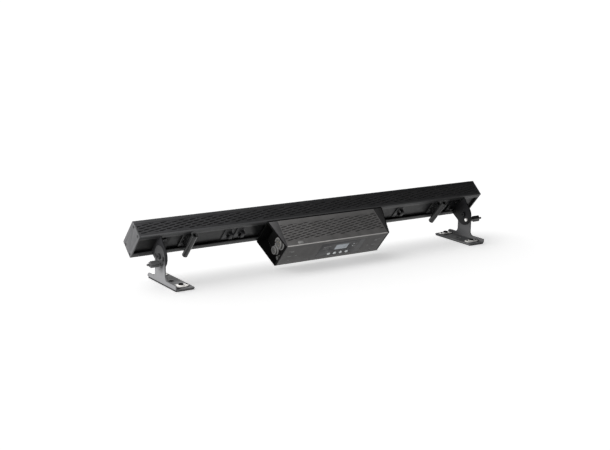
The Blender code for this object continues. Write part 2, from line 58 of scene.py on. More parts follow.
# Camera
CAMERA_PLACE = (-1.5851, -2.3204, 0.7279)
CAMERA_AZIMUTH = 33.3513
CAMERA_DROP = 12.8924
CAMERA_ROLL = 0.836
CAMERA_LENS = 69.36

# A studio: a glowing paper floor, a pale backdrop behind the bar, a dim room round the camera and a
# key light close to the bar's left end, which leaves the floor and the reflections alone
FLOOR_GLOW = 0.5
BACKDROP = (-0.3, 0.81, 0.5)
SKY_DIM = 0.06
SKY_BRIGHT = 2.0
KEY_PLACE = (-1.25, -0.25, 0.4)
KEY_SIZE = 0.5
KEY_POWER = 52.0
KEY_AIM = (-0.2, 0.0, 0.07)


def make_camera():
    data = bpy.data.cameras.new("camera")
    data.lens = CAMERA_LENS
    data.sensor_width = 36.0
    camera = bpy.data.objects.new("camera", data)
    turn = Matrix.Rotation(math.radians(-CAMERA_AZIMUTH), 4, "Z")
    tip = Matrix.Rotation(math.radians(90 - CAMERA_DROP), 4, "X")
    roll = Matrix.Rotation(math.radians(CAMERA_ROLL), 4, "Z")
    camera.matrix_world = Matrix.Translation(CAMERA_PLACE) @ turn @ tip @ roll
    bpy.context.scene.collection.objects.link(camera)
    bpy.context.scene.camera = camera


make_camera()

# The two frames that shapes are drawn in
PRESS = Vector(JOINTS["button_1_press"]["axis"]).normalized()
PIVOT = Vector((0.0, *JOINTS["right_foot_tilt"]["pos_m"][1:]))
TILT = -math.atan2(PRESS.y, PRESS.z)
LEVEL = Matrix.Translation(PIVOT)
YOKE = LEVEL @ Matrix.Rotation(TILT, 4, "X")


def extent(node, place):
    """A CAD node's lowest and highest corners in a frame, in millimetres."""
    turn = place.inverted()
    corners = [turn @ vertex.co / MM for vertex in frame["nodes"][node].data.vertices]
    low = Vector(min(corner[i] for corner in corners) for i in range(3))
    high = Vector(max(corner[i] for corner in corners) for i in range(3))
    return low, high


def reach(node, place):
    """How far out along X a node begins and ends, on whichever side it is."""
    low, high = extent(node, place)
    return sorted((abs(low.x), abs(high.x)))


BEHIND = extent("body_extrusion", YOKE)[0].z
BATTEN = YOKE @ Matrix.Translation((0, 0, BEHIND * MM))

# ---- mesh tools


def arc(centre, radius, start, end, steps=12):
    """Points along an arc, from the start angle to the end angle in degrees."""
    points = []
    for i in range(steps + 1):
        angle = math.radians(start + (end - start) * i / steps)
        points.append((centre[0] + radius * math.cos(angle), centre[1] + radius * math.sin(angle)))
    return points


def circle(centre, radius, steps=ROUND):
    return arc(centre, radius, 0, 360 - 360 / steps, steps - 1)


def mirrored(half):
    """A whole outline from its half at positive Y, which starts and ends off the centre line."""
    return half + [(-a, b) for a, b in reversed(half)]


def sided(outline, side):
    return [(a * side, b) for a, b in outline]


def span(low, high, side):
    return tuple(sorted((low * side, high * side)))


def prism(outline, axis, low, high):
    """An outline drawn across an axis, extruded along it. The outline's order of axes is XYZ's."""
    index = "XYZ".index(axis)

    def place(point, height):
        corner = list(point)
        corner.insert(index, height)
        return corner

    shape = bmesh.new()
    bottom = [shape.verts.new(place(point, low)) for point in outline]
    top = [shape.verts.new(place(point, high)) for point in outline]
    shape.faces.new(bottom)
    shape.faces.new(top)
    for i, corner in enumerate(bottom):
        j = (i + 1) % len(bottom)
        shape.faces.new((corner, bottom[j], top[j], top[i]))
    bmesh.ops.recalc_face_normals(shape, faces=shape.faces)
    return shape


def block(x, y, z):
    outline = [(x[0], y[0]), (x[1], y[0]), (x[1], y[1]), (x[0], y[1])]
    return prism(outline, "Z", *z)


def rod(centre, radius, steps, axis, low, high):
    return prism(circle(centre, radius, steps), axis, low, high)


def rounded_rectangle(x, y, radius, steps=8):
    points = arc((x[1] - radius, y[0] + radius), radius, -90, 0, steps)
    points += arc((x[1] - radius, y[1] - radius), radius, 0, 90, steps)
    points += arc((x[0] + radius, y[1] - radius), radius, 90, 180, steps)
    points += arc((x[0] + radius, y[0] + radius), radius, 180, 270, steps)
    return points


def slab(low, high, radius, steps=8):
    """A flat part with rounded corners, between its lowest and highest corners."""
    outline = rounded_rectangle((low.x, high.x), (low.y, high.y), radius, steps)
    return prism(outline, "Z", low.z, high.z)


def turned(
    profile, segments=ROUND, axis="Z", centre=(0, 0), lobes=0, lobe_depth=0.0, lobed_from=0.0
):
    """A closed profile of (radius, height) turned about an axis through centre.

    Points further out than lobed_from are fluted into the given number of lobes.
    """
    shape = bmesh.new()
    index = "XYZ".index(axis)

    def place(radius, height, angle):
        if lobes and radius > lobed_from:
            radius += lobe_depth * math.cos(lobes * angle)
        corner = [centre[0] + radius * math.cos(angle), centre[1] + radius * math.sin(angle)]
        corner.insert(index, height)
        return shape.verts.new(corner)

    rings = []
    for radius, height in profile:
        count = segments if radius else 1
        rings.append([place(radius, height, math.tau * i / segments) for i in range(count)])
    for first, second in zip(rings, rings[1:] + rings[:1]):
        if len(first) == len(second) == 1:
            continue
        for i in range(segments):
            j = (i + 1) % segments
            corners = (
                first[i % len(first)],
                first[j % len(first)],
                second[j % len(second)],
                second[i % len(second)],
            )
            shape.faces.new(list(dict.fromkeys(corners)))
    bmesh.ops.recalc_face_normals(shape, faces=shape.faces)
    return shape


def joined(shapes):
    """Several shapes as one."""
    whole = bmesh.new()
    for shape in shapes:
        mesh = bpy.data.meshes.new("part")
        shape.to_mesh(mesh)
        shape.free()
        whole.from_mesh(mesh)
        bpy.data.meshes.remove(mesh)
    return whole


def moved(shape, matrix):
    bmesh.ops.transform(shape, matrix=matrix, verts=shape.verts)
    return shape


def copies(shape, places):
    """One shape at several places, as a single shape."""
    return joined([moved(shape.copy(), place) for place in places])


def object_of(name, shape):
    mesh = bpy.data.meshes.new(name)
    shape.to_mesh(mesh)
    shape.free()
    thing = bpy.data.objects.new(name, mesh)
    bpy.context.scene.collection.objects.link(thing)
    return thing


def evaluated(thing):
    """The bmesh of an object with its modifiers applied. The object is removed."""
    bpy.context.view_layer.update()
    graph = bpy.context.evaluated_depsgraph_get()
    shape = bmesh.new()
    shape.from_object(thing, graph)
    bpy.data.objects.remove(thing, do_unlink=True)
    return shape


def combined(shape, *steps):
    """A shape after Boolean steps, each an operation and another shape."""
    target = object_of("boolean_target", shape)
    tools = []
    for operation, other in steps:
        tool = object_of("boolean_tool", other)
        tools.append(tool)
        modifier = target.modifiers.new("boolean", "BOOLEAN")
        modifier.object = tool
        modifier.operation = operation
        modifier.solver = "EXACT"
    result = evaluated(target)
    for tool in tools:
        bpy.data.objects.remove(tool, do_unlink=True)
    return result


def cut(shape, *others):
    return combined(shape, *[("DIFFERENCE", other) for other in others])


def united(shape, *others):
    return combined(shape, *[("UNION", other) for other in others])


def flattened(shape):
    """A shape with its doubled points merged and its flat faces whole."""
    bmesh.ops.remove_doubles(shape, verts=shape.verts, dist=1e-4)
    bmesh.ops.dissolve_limit(
        shape, angle_limit=FLAT, verts=shape.verts, edges=shape.edges, delimit=set()
    )
    return shape


def eased(shape, width, segments=2):
    """A shape with its sharp edges rounded, and its flat faces tidied first."""
    thing = object_of("easing", flattened(shape))
    modifier = thing.modifiers.new("bevel", "BEVEL")
    modifier.width = width
    modifier.segments = segments
    modifier.limit_method = "ANGLE"
    modifier.angle_limit = SHARP
    modifier.use_clamp_overlap = True
    return evaluated(thing)


def bend(shape, radius, x, z, segments=5):
    """Rounds the edges that lie at X, on either side, and Z, as a press brake does."""
    edges = [
        edge
        for edge in shape.edges
        if all(abs(abs(v.co.x) - x) < 0.01 and abs(v.co.z - z) < 0.01 for v in edge.verts)
    ]
    bmesh.ops.bevel(
        shape,
        geom=edges,
        offset=radius,
        offset_type="OFFSET",
        segments=segments,
        profile=0.5,
        affect="EDGES",
        clamp_overlap=True,
    )
    return shape


def piece(name, shape, finish, replaces=(), body="batten", place=BATTEN, smooth=35.0):
    """A finished piece: millimetres to metres, shaded, painted and riding on its body."""
    bmesh.ops.scale(shape, vec=(MM, MM, MM), verts=shape.verts)
    thing = object_of(name, moved(shape, place))
    thing.data.shade_smooth()
    thing.data.set_sharp_from_angle(angle=math.radians(smooth))
    thing.data.materials.append(MATERIALS[finish])
    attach(thing, body)
    if replaces:
        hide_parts(*replaces)
    return thing


def carried(node, finish, ease=0.3):
    """A CAD node that stays, with whole flat faces, eased edges and a material of its own."""
    thing = frame["nodes"][node]
    thing.data.materials.clear()
    thing.data.materials.append(MATERIALS[finish])
    weld = thing.modifiers.new("weld", "WELD")
    weld.merge_threshold = 1e-6
    tidy = thing.modifiers.new("tidy", "DECIMATE")
    tidy.decimate_type = "DISSOLVE"
    tidy.angle_limit = FLAT
    bevel = thing.modifiers.new("bevel", "BEVEL")
    bevel.width = ease * MM
    bevel.segments = 2
    bevel.limit_method = "ANGLE"
    bevel.angle_limit = SHARP


# ---- materials


class Nodes:
    """A material's node tree, with the few nodes that these materials share."""

    def __init__(self, name):
        self.material = bpy.data.materials.new(name)
        self.material.use_nodes = True
        self.tree = self.material.node_tree
        self.shader = self.tree.nodes["Principled BSDF"]
        self.where = self.add("ShaderNodeTexCoord").outputs["Object"]

    def add(self, kind, inputs=None, **settings):
        node = self.tree.nodes.new(kind)
        for key, value in settings.items():
            setattr(node, key, value)
        self.give(node, inputs or {})
        return node

    def give(self, node, inputs):
        """Sets a node's inputs, and links those whose value is another node's output."""
        for key, value in inputs.items():
            if isinstance(value, bpy.types.NodeSocket):
                self.tree.links.new(value, node.inputs[key])
            else:
                node.inputs[key].default_value = value

    def surface(self, colour, roughness, bump, level=0.5):
        """Wires the shader's colour, its roughness and a bump of (height, strength, distance)."""
        keys = ("Height", "Strength", "Distance")
        normal = self.add("ShaderNodeBump", dict(zip(keys, bump))).outputs["Normal"]
        inputs = {"Base Color": colour, "Roughness": roughness, "Normal": normal}
        self.give(self.shader, {**inputs, "Specular IOR Level": level})
        return self.material

    def noise(self, scale, detail=3.0, stretch=None):
        """Noise in the object's own space. Scale is in cells per metre."""
        place = self.where
        if stretch:
            inputs = {"Scale": stretch, "Vector": place}
            place = self.add("ShaderNodeMapping", inputs).outputs["Vector"]
        inputs = {"Scale": scale, "Detail": detail, "Roughness": 0.55, "Vector": place}
        return self.add("ShaderNodeTexNoise", inputs).outputs["Fac"]

    def cells(self, scale):
        inputs = {"Scale": scale, "Vector": self.where}
        return self.add("ShaderNodeTexVoronoi", inputs).outputs["Distance"]

    def bricks(self, colours, inputs):
        """Bricks of two colours, with mortar of a third."""
        for key, colour in zip(("Color1", "Color2", "Mortar"), colours):
            inputs[key] = (*colour, 1.0)
        return self.add("ShaderNodeTexBrick", {**inputs, "Vector": self.where})

    def limits(self, value, start, end, most=1.0, least=0.0):
        """The least at start, rising to the most at end, which may be the lower of the two."""
        ends = {"From Min": start, "From Max": end, "To Min": least, "To Max": most}
        return self.add("ShaderNodeMapRange", {"Value": value, **ends}).outputs["Result"]

    def between(self, value, low, high):
        """Noise, which mostly lies between a quarter and three, turned into low to high."""
        return self.limits(value, 0.25, 0.75, high, low)

    def math(self, operation, *values):
        node = self.add("ShaderNodeMath", dict(enumerate(values)), operation=operation)
        return node.outputs["Value"]

    def vector_math(self, operation, *values):
        return self.add("ShaderNodeVectorMath", dict(enumerate(values)), operation=operation)

    def axes(self, place):
        return self.add("ShaderNodeSeparateXYZ", {"Vector": place}).outputs

    def window(self, value, low, high, soft):
        """One between low and high, fading to zero over the soft distance on either side."""
        rise = self.limits(value, low - soft, low)
        return self.math("MULTIPLY", rise, self.limits(value, high + soft, high))

    def ramp(self, value, *stops):
        node = self.add("ShaderNodeValToRGB", {"Fac": value})
        elements = node.color_ramp.elements
        while len(elements) < len(stops):
            elements.new(0.5)
        for element, (place, colour) in zip(elements, stops):
            element.position = place
            element.color = (*colour, 1.0)
        return node.outputs["Color"]

    def mix(self, factor, *pair):
        node = self.add("ShaderNodeMix", {"Factor": factor}, data_type="RGBA")
        sockets = [i for i, socket in enumerate(node.inputs) if socket.type == "RGBA"]
        colours = [(*colour, 1.0) if isinstance(colour, tuple) else colour for colour in pair]
        self.give(node, dict(zip(sockets, colours)))
        return [socket for socket in node.outputs if socket.type == "RGBA"][0]


def tinted(colour, factor):
    return tuple(min(1.0, channel * factor) for channel in colour)


def side_shade_and_highlight(nodes, coat, slit_shade_colour, edge, pressed):
    """The coat of the batten's sides: painted shade in the slits of their relief, and a painted
    highlight along one long edge.
    """
    inputs = {"Vector": nodes.where, "Location": BATTEN.translation, "Rotation": BATTEN.to_euler()}
    place = nodes.add("ShaderNodeMapping", inputs, vector_type="TEXTURE").outputs["Vector"]
    axes = nodes.axes(place)
    # Painted shade in the relief's slits: darker where the surface lies deep below the side
    deep, shallow = ((BOX_HALF - depth) * MM for depth in SLIT_SHADE)
    slit = nodes.window(nodes.math("ABSOLUTE", axes["Y"]), deep, shallow, 0.0003)
    relief = nodes.window(axes["Z"], pressed[0] * MM, pressed[1] * MM, 0.0002)
    dark = nodes.between(nodes.math("MULTIPLY", slit, relief), -0.4, 1.2)
    coat = nodes.mix(dark, coat, slit_shade_colour)
    # A painted highlight along the edge, lightest near it and fading out over the reach
    (y, z), reach, highlight_colour = edge
    across = nodes.vector_math("MULTIPLY", place, (0.0, 1.0, 1.0)).outputs["Vector"]
    away = nodes.vector_math("DISTANCE", across, (0.0, y * MM, z * MM)).outputs["Value"]
    return nodes.mix(nodes.limits(away, reach * MM, reach * MM / 2, 0.8), coat, highlight_colour)


def painted(
    name, colour, roughness, wear=(0.09, 0.09, 0.092), level=0.4, edge=None, pressed=None, fall=None
):
    """Powder coat: fine orange peel, cloudy gloss, painted shade in its hollows, and edges rubbed
    a little paler, which also paints a faint highlight along them.

    Edge is a long edge of the batten with a painted highlight along it: its (y, z), how far the
    highlight reaches on either side, and its colour. Pressed is the Z range of its sides' relief
    and the share of the colour that its slits keep under their painted shade. Fall is the height
    range over which painted shade darkens the colour towards the top, and the share of it lost.
    """
    nodes = Nodes(name)
    cloud = nodes.noise(45.0, 4.0)
    coat = nodes.ramp(cloud, (0.3, tinted(colour, 0.85)), (0.7, tinted(colour, 1.18)))
    bend = nodes.add("ShaderNodeNewGeometry").outputs["Pointiness"]
    # Edges a little paler: wear, with a faint painted highlight in it
    wear_and_sheen = nodes.mix(nodes.limits(bend, 0.515, 0.6, 0.55), coat, wear)
    # Painted shade: the hollows darkened, where the surface bends inwards
    shaded = nodes.mix(nodes.limits(bend, 0.49, 0.44, 0.85), wear_and_sheen, tinted(colour, 0.2))
    if edge:
        shaded = side_shade_and_highlight(nodes, shaded, tinted(colour, pressed[2]), edge, pressed)
    # Painted shade: the colour darkens towards the top
    if fall:
        low, high, lost = fall
        climb = nodes.limits(nodes.axes(nodes.where)["Z"], low * MM, high * MM, lost)
        shaded = nodes.mix(climb, shaded, (0.0, 0.0, 0.0))
    gloss = nodes.between(nodes.noise(110.0), roughness - 0.06, roughness + 0.06)
    return nodes.surface(shaded, gloss, (nodes.noise(1500.0, 2.0), 0.2, 0.0002), level)


def moulded(name, colour, roughness, grain=2600.0, strength=0.2, level=0.5):
    """Moulded plastic with a spark-eroded grain and slight flow marks."""
    nodes = Nodes(name)
    flow = nodes.noise(60.0, stretch=(0.4, 1.0, 1.0))
    tone = nodes.ramp(flow, (0.3, tinted(colour, 0.88)), (0.7, tinted(colour, 1.12)))
    gloss = nodes.between(nodes.noise(300.0, 2.0), roughness - 0.05, roughness + 0.06)
    return nodes.surface(tone, gloss, (nodes.cells(grain), strength, 0.0001), level)


def plated(name, colour, roughness, tint, brushing=(1.0, 1.0, 1.0), metallic=1.0):
    """Plated steel: cloudy passivation, faint drawn lines and smudged gloss."""
    nodes = Nodes(name)
    nodes.give(nodes.shader, {"Metallic": metallic})
    lines = nodes.noise(900.0, 2.0, brushing)
    gloss = nodes.between(lines, roughness - 0.08, roughness + 0.1)
    tone = nodes.mix(nodes.noise(120.0, 4.0), colour, tint)
    return nodes.surface(tone, gloss, (lines, 0.15, 0.00015))


def rubbery(name, colour, level=0.3):
    """Matt rubber, a little dusty."""
    nodes = Nodes(name)
    tone = nodes.ramp(nodes.noise(90.0, 5.0), (0.35, colour), (0.75, tinted(colour, 2.2)))
    gloss = nodes.between(nodes.noise(400.0), 0.75, 0.95)
    return nodes.surface(tone, gloss, (nodes.noise(1200.0), 0.5, 0.0003), level)


def clear(name, colour, roughness, ior, frost=0.05):
    """Clear moulded plastic: a little colour, with uneven frost and ripple."""
    nodes = Nodes(name)
    nodes.give(nodes.shader, {"Transmission Weight": 1.0, "IOR": ior})
    tone = nodes.mix(nodes.noise(25.0), colour, tinted(colour, 0.94))
    gloss = nodes.between(nodes.noise(200.0), roughness, roughness + frost)
    return nodes.surface(tone, gloss, (nodes.noise(70.0, 2.0), 0.05, 0.0002))


def circuit(name, colour, copper):
    """A board: solder mask with tracks showing through it."""
    nodes = Nodes(name)
    colours = (colour, tinted(colour, 1.3), copper)
    tracks = nodes.bricks(colours, {"Scale": 160.0, "Mortar Size": 0.012})
    gloss = nodes.between(nodes.noise(200.0), 0.3, 0.5)
    return nodes.surface(tracks.outputs["Color"], gloss, (tracks.outputs["Fac"], 0.3, 0.0001))


def liquid_crystal(name):
    """A pale display behind its pane: a fine grid of unlit dots under a glossy face."""
    nodes = Nodes(name)
    nodes.give(nodes.shader, {"Coat Weight": 0.6})
    size = {"Scale": 1000.0, "Brick Width": 0.6, "Row Height": 0.6, "Mortar Size": 0.06}
    grid = nodes.bricks(((0.27, 0.30, 0.33), (0.29, 0.32, 0.35), (0.35, 0.38, 0.41)), size)
    grid.offset = 0.0
    tone = nodes.mix(nodes.noise(60.0, 2.0), grid.outputs["Color"], (0.33, 0.36, 0.39))
    gloss = nodes.between(nodes.noise(300.0), 0.12, 0.22)
    return nodes.surface(tone, gloss, (nodes.noise(40.0, 2.0), 0.03, 0.0002))


def phosphor(name):
    nodes = Nodes(name)
    tone = nodes.mix(nodes.noise(700.0, 2.0), (0.85, 0.68, 0.12), (0.78, 0.58, 0.08))
    gloss = nodes.between(nodes.noise(900.0), 0.25, 0.45)
    return nodes.surface(tone, gloss, (nodes.noise(2000.0, 2.0), 0.2, 0.0001))


# How deep below the batten's side the shade in its slits ends and begins
SLIT_SHADE = (2.2, 0.4)
BOX_LOW, BOX_HIGH = extent("psu_housing", BATTEN)
BOX_HALF = BOX_HIGH.y
SIDE_RELIEF = (9.4, 35.4)
BOX_RELIEF = (-63.0, -16.0)
# Painted highlights along long edges: a faint one on the bar's upper back edge, a bright one on the
# box's upper outer edge
BAR_HIGHLIGHT = ((-BOX_HALF, 0.5), 6.0, (0.035, 0.035, 0.036))
BOX_HIGHLIGHT = ((-BOX_HALF, BOX_LOW.z), 2.1, (0.42, 0.41, 0.4))

MATERIALS = {
    # The bar's coat carries painted shade in its slits and a faint painted highlight on its upper
    # back edge
    "coat": painted(
        "black_powder_coat", (0.017, 0.017, 0.0177), 0.36, (0.02, 0.02, 0.021), 0.22,
        BAR_HIGHLIGHT, (*SIDE_RELIEF, 0.15),
    ),
    "cap_coat": painted("cap_powder_coat", (0.018, 0.018, 0.0188), 0.36, level=0.25),
    "tube_coat": painted("tube_powder_coat", (0.003, 0.003, 0.0032), 0.3, (0.02, 0.02, 0.02)),
    # The box's coat carries painted shade in its slits and a bright painted highlight on its upper
    # outer edge
    "box_coat": painted(
        "box_powder_coat", (0.068, 0.066, 0.065), 0.45, (0.09, 0.088, 0.087), 0.3,
        BOX_HIGHLIGHT, (*BOX_RELIEF, 0.32),
    ),
    "hood_coat_left": painted("hood_powder_coat", (0.041, 0.04, 0.041), 0.45, level=0.2),
    # The right hood's coat is a darker copy of the left one's: painted shade
    "hood_coat_right": painted(
        "hood_powder_coat_painted_shade", (0.015, 0.0148, 0.015), 0.45, (0.03, 0.03, 0.03), 0.15
    ),
    # The feet's coat has painted shade, darker towards the tops of their arms
    "foot_coat": painted(
        "foot_powder_coat", (0.022, 0.022, 0.023), 0.4, level=0.1, fall=(28.0, 62.0, 0.75)
    ),
    # A darker black than the feet's coat: painted shade on the yoke sheets; the tilt bolts also use
    # it
    "yoke_coat": painted(
        "yoke_powder_coat", (0.006, 0.006, 0.0065), 0.45, (0.012, 0.012, 0.012), 0.1
    ),
    # Near-black with hardly any gloss: painted shade in the box's recesses; the lock cam drums and
    # rivet heads also use it
    "black_and_shade_coat": painted(
        "black_and_painted_shade", (0.0015, 0.0015, 0.0015), 0.8, (0.003, 0.003, 0.003), 0.03
    ),
    "film": moulded("printed_film", (0.02, 0.02, 0.022), 0.38, grain=4000.0, strength=0.08),
    "pale_film": moulded("pale_film", (0.062, 0.062, 0.064), 0.38, grain=4000.0, strength=0.08),
    "ink": moulded("pale_ink", (0.2, 0.2, 0.2), 0.5, strength=0.05),
    "badge": moulded("blank_badge", (0.14, 0.14, 0.137), 0.5, grain=900.0, strength=0.1),
    "black_plastic": moulded("black_moulding", (0.006, 0.006, 0.0065), 0.42, level=0.25),
    "knob_plastic": moulded("knob_moulding", (0.026, 0.026, 0.0265), 0.22),
    "grey_plastic": moulded("grey_moulding", (0.055, 0.054, 0.053), 0.5, level=0.3),
    "socket_face": moulded("socket_face", (0.022, 0.022, 0.0215), 0.5, level=0.3),
    "button": moulded("button_moulding", (0.55, 0.57, 0.58), 0.35, strength=0.1),
    "rubber": rubbery("black_rubber", (0.005, 0.005, 0.005)),
    "trim": rubbery("trim_rubber", (0.0015, 0.0015, 0.0015), 0.03),
    "zinc": plated(
        "zinc_plate", (0.75, 0.74, 0.72), 0.3, (0.6, 0.59, 0.57), (1.0, 0.08, 1.0), 0.55
    ),
    "black_zinc": plated("black_zinc_plate", (0.07, 0.07, 0.072), 0.36, (0.04, 0.04, 0.043)),
    "brass": plated("contact_brass", (0.8, 0.6, 0.28), 0.3, (0.7, 0.52, 0.25)),
    "window": clear("window_polycarbonate", (0.97, 0.98, 1.0), 0.04, 1.58),
    "lens": clear("lens_acrylic", (1.0, 1.0, 1.0), 0.02, 1.49, 0.03),
    "board": circuit("circuit_board", (0.02, 0.1, 0.05), (0.05, 0.2, 0.09)),
    "white_board": circuit("white_board", (0.75, 0.75, 0.73), (0.62, 0.62, 0.6)),
    "display": liquid_crystal("pale_display"),
    "phosphor": phosphor("led_phosphor"),
}

# ---- the wave relief

# Cycles per millimetre along the bar and across it: rows of slits that climb, and the slits' own
# spacing, which sets each row half a slit off the next
WAVE_ROWS = Vector((0.0255, -0.153))
WAVE_SLITS = Vector((0.041, 0.0765))
BAR_WAVE_DEPTH = 1.5
BOX_WAVE_DEPTH = 1.1
SLIT_LENGTH = 0.92
SLIT_WIDTH = 0.5


def wave(along, across):
    """The pressing at a place, from 0 to -1 at its deepest: climbing rows of lens-shaped slits."""
    place = Vector((along, across))
    row = place.dot(WAVE_ROWS)
    slit = place.dot(WAVE_SLITS)
    u = (slit - round(slit)) / (SLIT_LENGTH / 2)
    v = (row - round(row)) / (SLIT_WIDTH / 2)
    edge = 1 - u**4
    if abs(v) >= edge:
        return 0.0
    return -(1 - (v / edge) ** 2) * math.sqrt(edge)


def pressed(depth, first, last, count, end):
    """A relief for swept(): pressed between two points of half the outline and of its mirror image.

    Count is the number of points of both halves, and end says how far along X the relief runs.
    """

    def relief(x, y, z, index):
        if not first < min(index, count - 1 - index) < last or abs(x) > end(z):
            return 0.0
        return math.copysign(depth, y) * wave(x, z)

    return relief


def swept(profile, stations, relief, place):
    """An outline of (y, z) swept along X. Relief moves a point across, place moves it along."""
    shape = bmesh.new()
    rings = []
    for station in stations:
        ring = []
        for index, (y, z) in enumerate(profile):
            x = place(station, z)
            ring.append(shape.verts.new((x, y + relief(x, y, z, index), z)))
        rings.append(ring)
    for first, second in zip(rings, rings[1:]):
        for i in range(len(profile)):
            j = (i + 1) % len(profile)
            shape.faces.new((first[i], first[j], second[j], second[i]))
    shape.faces.new(rings[0])
    shape.faces.new(rings[-1])
    bmesh.ops.recalc_face_normals(shape, faces=shape.faces)
    return shape


def relief_points(low, high):
    return [(HALF, z) for z in reversed(steps_between(low, high, RELIEF_STEP))]


def steps_between(low, high, step):
    count = max(1, round((high - low) / step))
    return [low + (high - low) * i / count for i in range(count + 1)]


# ---- small parts


def screw(radius, height):
    """A pan-head screw that sits on Z = 0, with a cross recess."""
    head = [(0.0, -1.0), (radius, -1.0), (radius, height * 0.35)]
    head += [(radius * 0.93, height * 0.7), (radius * 0.75, height * 0.93), (0.0, height)]
    arm = (-radius * 0.58, radius * 0.58)
    half = (-radius * 0.14, radius * 0.14)
    first = block(arm, half, (height * 0.25, height + 1))
    second = block(half, arm, (height * 0.2, height + 1))
    return cut(turned(head, 28), first, second)


def screws(name, radius, height, places):
    piece(name, copies(screw(radius, height), places), "black_zinc")


def turn_about_z(angle):
    return Matrix.Rotation(math.radians(angle), 4, "Z")


def aimed(centre, direction):
    """A matrix that stands a shape's Z on a direction at a point."""
    turn = Vector(direction).to_track_quat("Z", "Y").to_matrix().to_4x4()
    return Matrix.Translation(centre) @ turn


# ---- the bar

BODY_LOW, BODY_HIGH = extent("body_extrusion", BATTEN)
CAP_LOW, CAP_HIGH = extent("end_cap_right", BATTEN)
BEZEL_LOW, BEZEL_HIGH = extent("front_bezel", BATTEN)
HALF = BODY_HIGH.y
DEPTH = BEZEL_HIGH.z
WALL = 2.5
LIP = 26.0
LIP_THICKNESS = 2.5
WEB = (6.0, 8.5)
GROOVE = (4.3, 5.6)
LENSES = 9
CAP_NOTCH = 1.0
CAP_SINK = 1.4
BACK_RADIUS = 1.0
FRONT_RADIUS = 2.5
RELIEF_STEP = 0.7
RELIEF_PITCH = 1.85
RELIEF_MARGIN = 3.0


def bar_body():
    inside = HALF - WALL
    half = [(inside, WEB[1] + 1.5), (inside, BODY_HIGH.z), (HALF - 0.8, BODY_HIGH.z)]
    half += [(HALF - 0.8, SIDE_RELIEF[1] + 0.9), (HALF, SIDE_RELIEF[1] + 0.4)]
    first = len(half)
    half += relief_points(*SIDE_RELIEF)
    last = len(half) - 1
    half += [(HALF, SIDE_RELIEF[0] - 0.4), (HALF, GROOVE[1]), (HALF - 0.7, GROOVE[1] - 0.3)]
    half += [(HALF - 0.7, GROOVE[0] + 0.3), (HALF, GROOVE[0])]
    half += arc((HALF - BACK_RADIUS, BACK_RADIUS), BACK_RADIUS, 0, -90, 5)
    half += arc((LIP + 0.5, 0.5), 0.5, -90, -180, 3)
    half += [(LIP, LIP_THICKNESS), (inside, LIP_THICKNESS), (inside, WEB[0])]
    end = BODY_HIGH.x - RELIEF_MARGIN
    relief = pressed(BAR_WAVE_DEPTH, first, last, 2 * len(half), lambda z: end)
    stations = steps_between(0.2 - end, end - 0.2, RELIEF_PITCH)
    stations = [BODY_LOW.x, -end, *stations, end, BODY_HIGH.x]
    shape = swept(mirrored(half), stations, relief, lambda station, z: station)
    piece("bar_body", shape, "coat", ["body_extrusion"], smooth=28)


def front_half(low):
    centre = (HALF - FRONT_RADIUS, DEPTH - FRONT_RADIUS)
    return [(HALF, low), *arc(centre, FRONT_RADIUS, 0, 90, 8)]


def end_caps():
    seam = BEZEL_LOW.z
    half = arc((HALF - BACK_RADIUS, BACK_RADIUS), BACK_RADIUS, -90, 0, 8)
    half += [(HALF, seam - 1.4), (HALF - CAP_NOTCH, seam - 1.1), (HALF - CAP_NOTCH, seam)]
    outline = mirrored(half + front_half(seam + 0.2))
    corners = [(y, z) for y in (-HALF + 6, HALF - 6) for z in (6.5, DEPTH - 13)]
    floor = CAP_HIGH.x - CAP_SINK
    for name, side in SIDES.items():
        sunk = span(floor, CAP_HIGH.x + 1, side)
        sinks = [rod(corner, 3.6, 32, "X", *sunk) for corner in corners]
        shape = cut(prism(outline, "X", *span(CAP_LOW.x, CAP_HIGH.x, side)), *sinks)
        node = f"end_cap_{name}"
        piece(f"cap_{name}", eased(shape, 0.5, 3), "cap_coat", [node])
        places = [aimed((side * floor, y, z), (side, 0, 0)) for y, z in corners]
        screws(f"cap_screws_{name}", 2.9, 1.3, places)


def bezel():
    seat = extent("window_gasket", BATTEN)[1] + Vector((0.3, 0.3, 0))
    low, high = extent("front_window", BATTEN)
    top = high.z + 0.3
    sight_x = seat.x - 4
    sight_y = seat.y - 3
    inner = rounded_rectangle((-sight_x, sight_x), (-sight_y, sight_y), 4.0)
    shape = cut(
        prism(mirrored(front_half(BEZEL_LOW.z)), "X", BODY_LOW.x, BODY_HIGH.x),
        block((-seat.x, seat.x), (-seat.y, seat.y), (BEZEL_LOW.z - 1, top)),
        prism(inner, "Z", top - 1, DEPTH + 1),
    )
    piece("bezel", eased(shape, 0.5, 3), "coat", ["front_bezel"])
    pane = eased(slab(low, high, 3.0), 0.4)
    piece("window", pane, "window", ["front_window"])
    carried("window_gasket", "rubber")


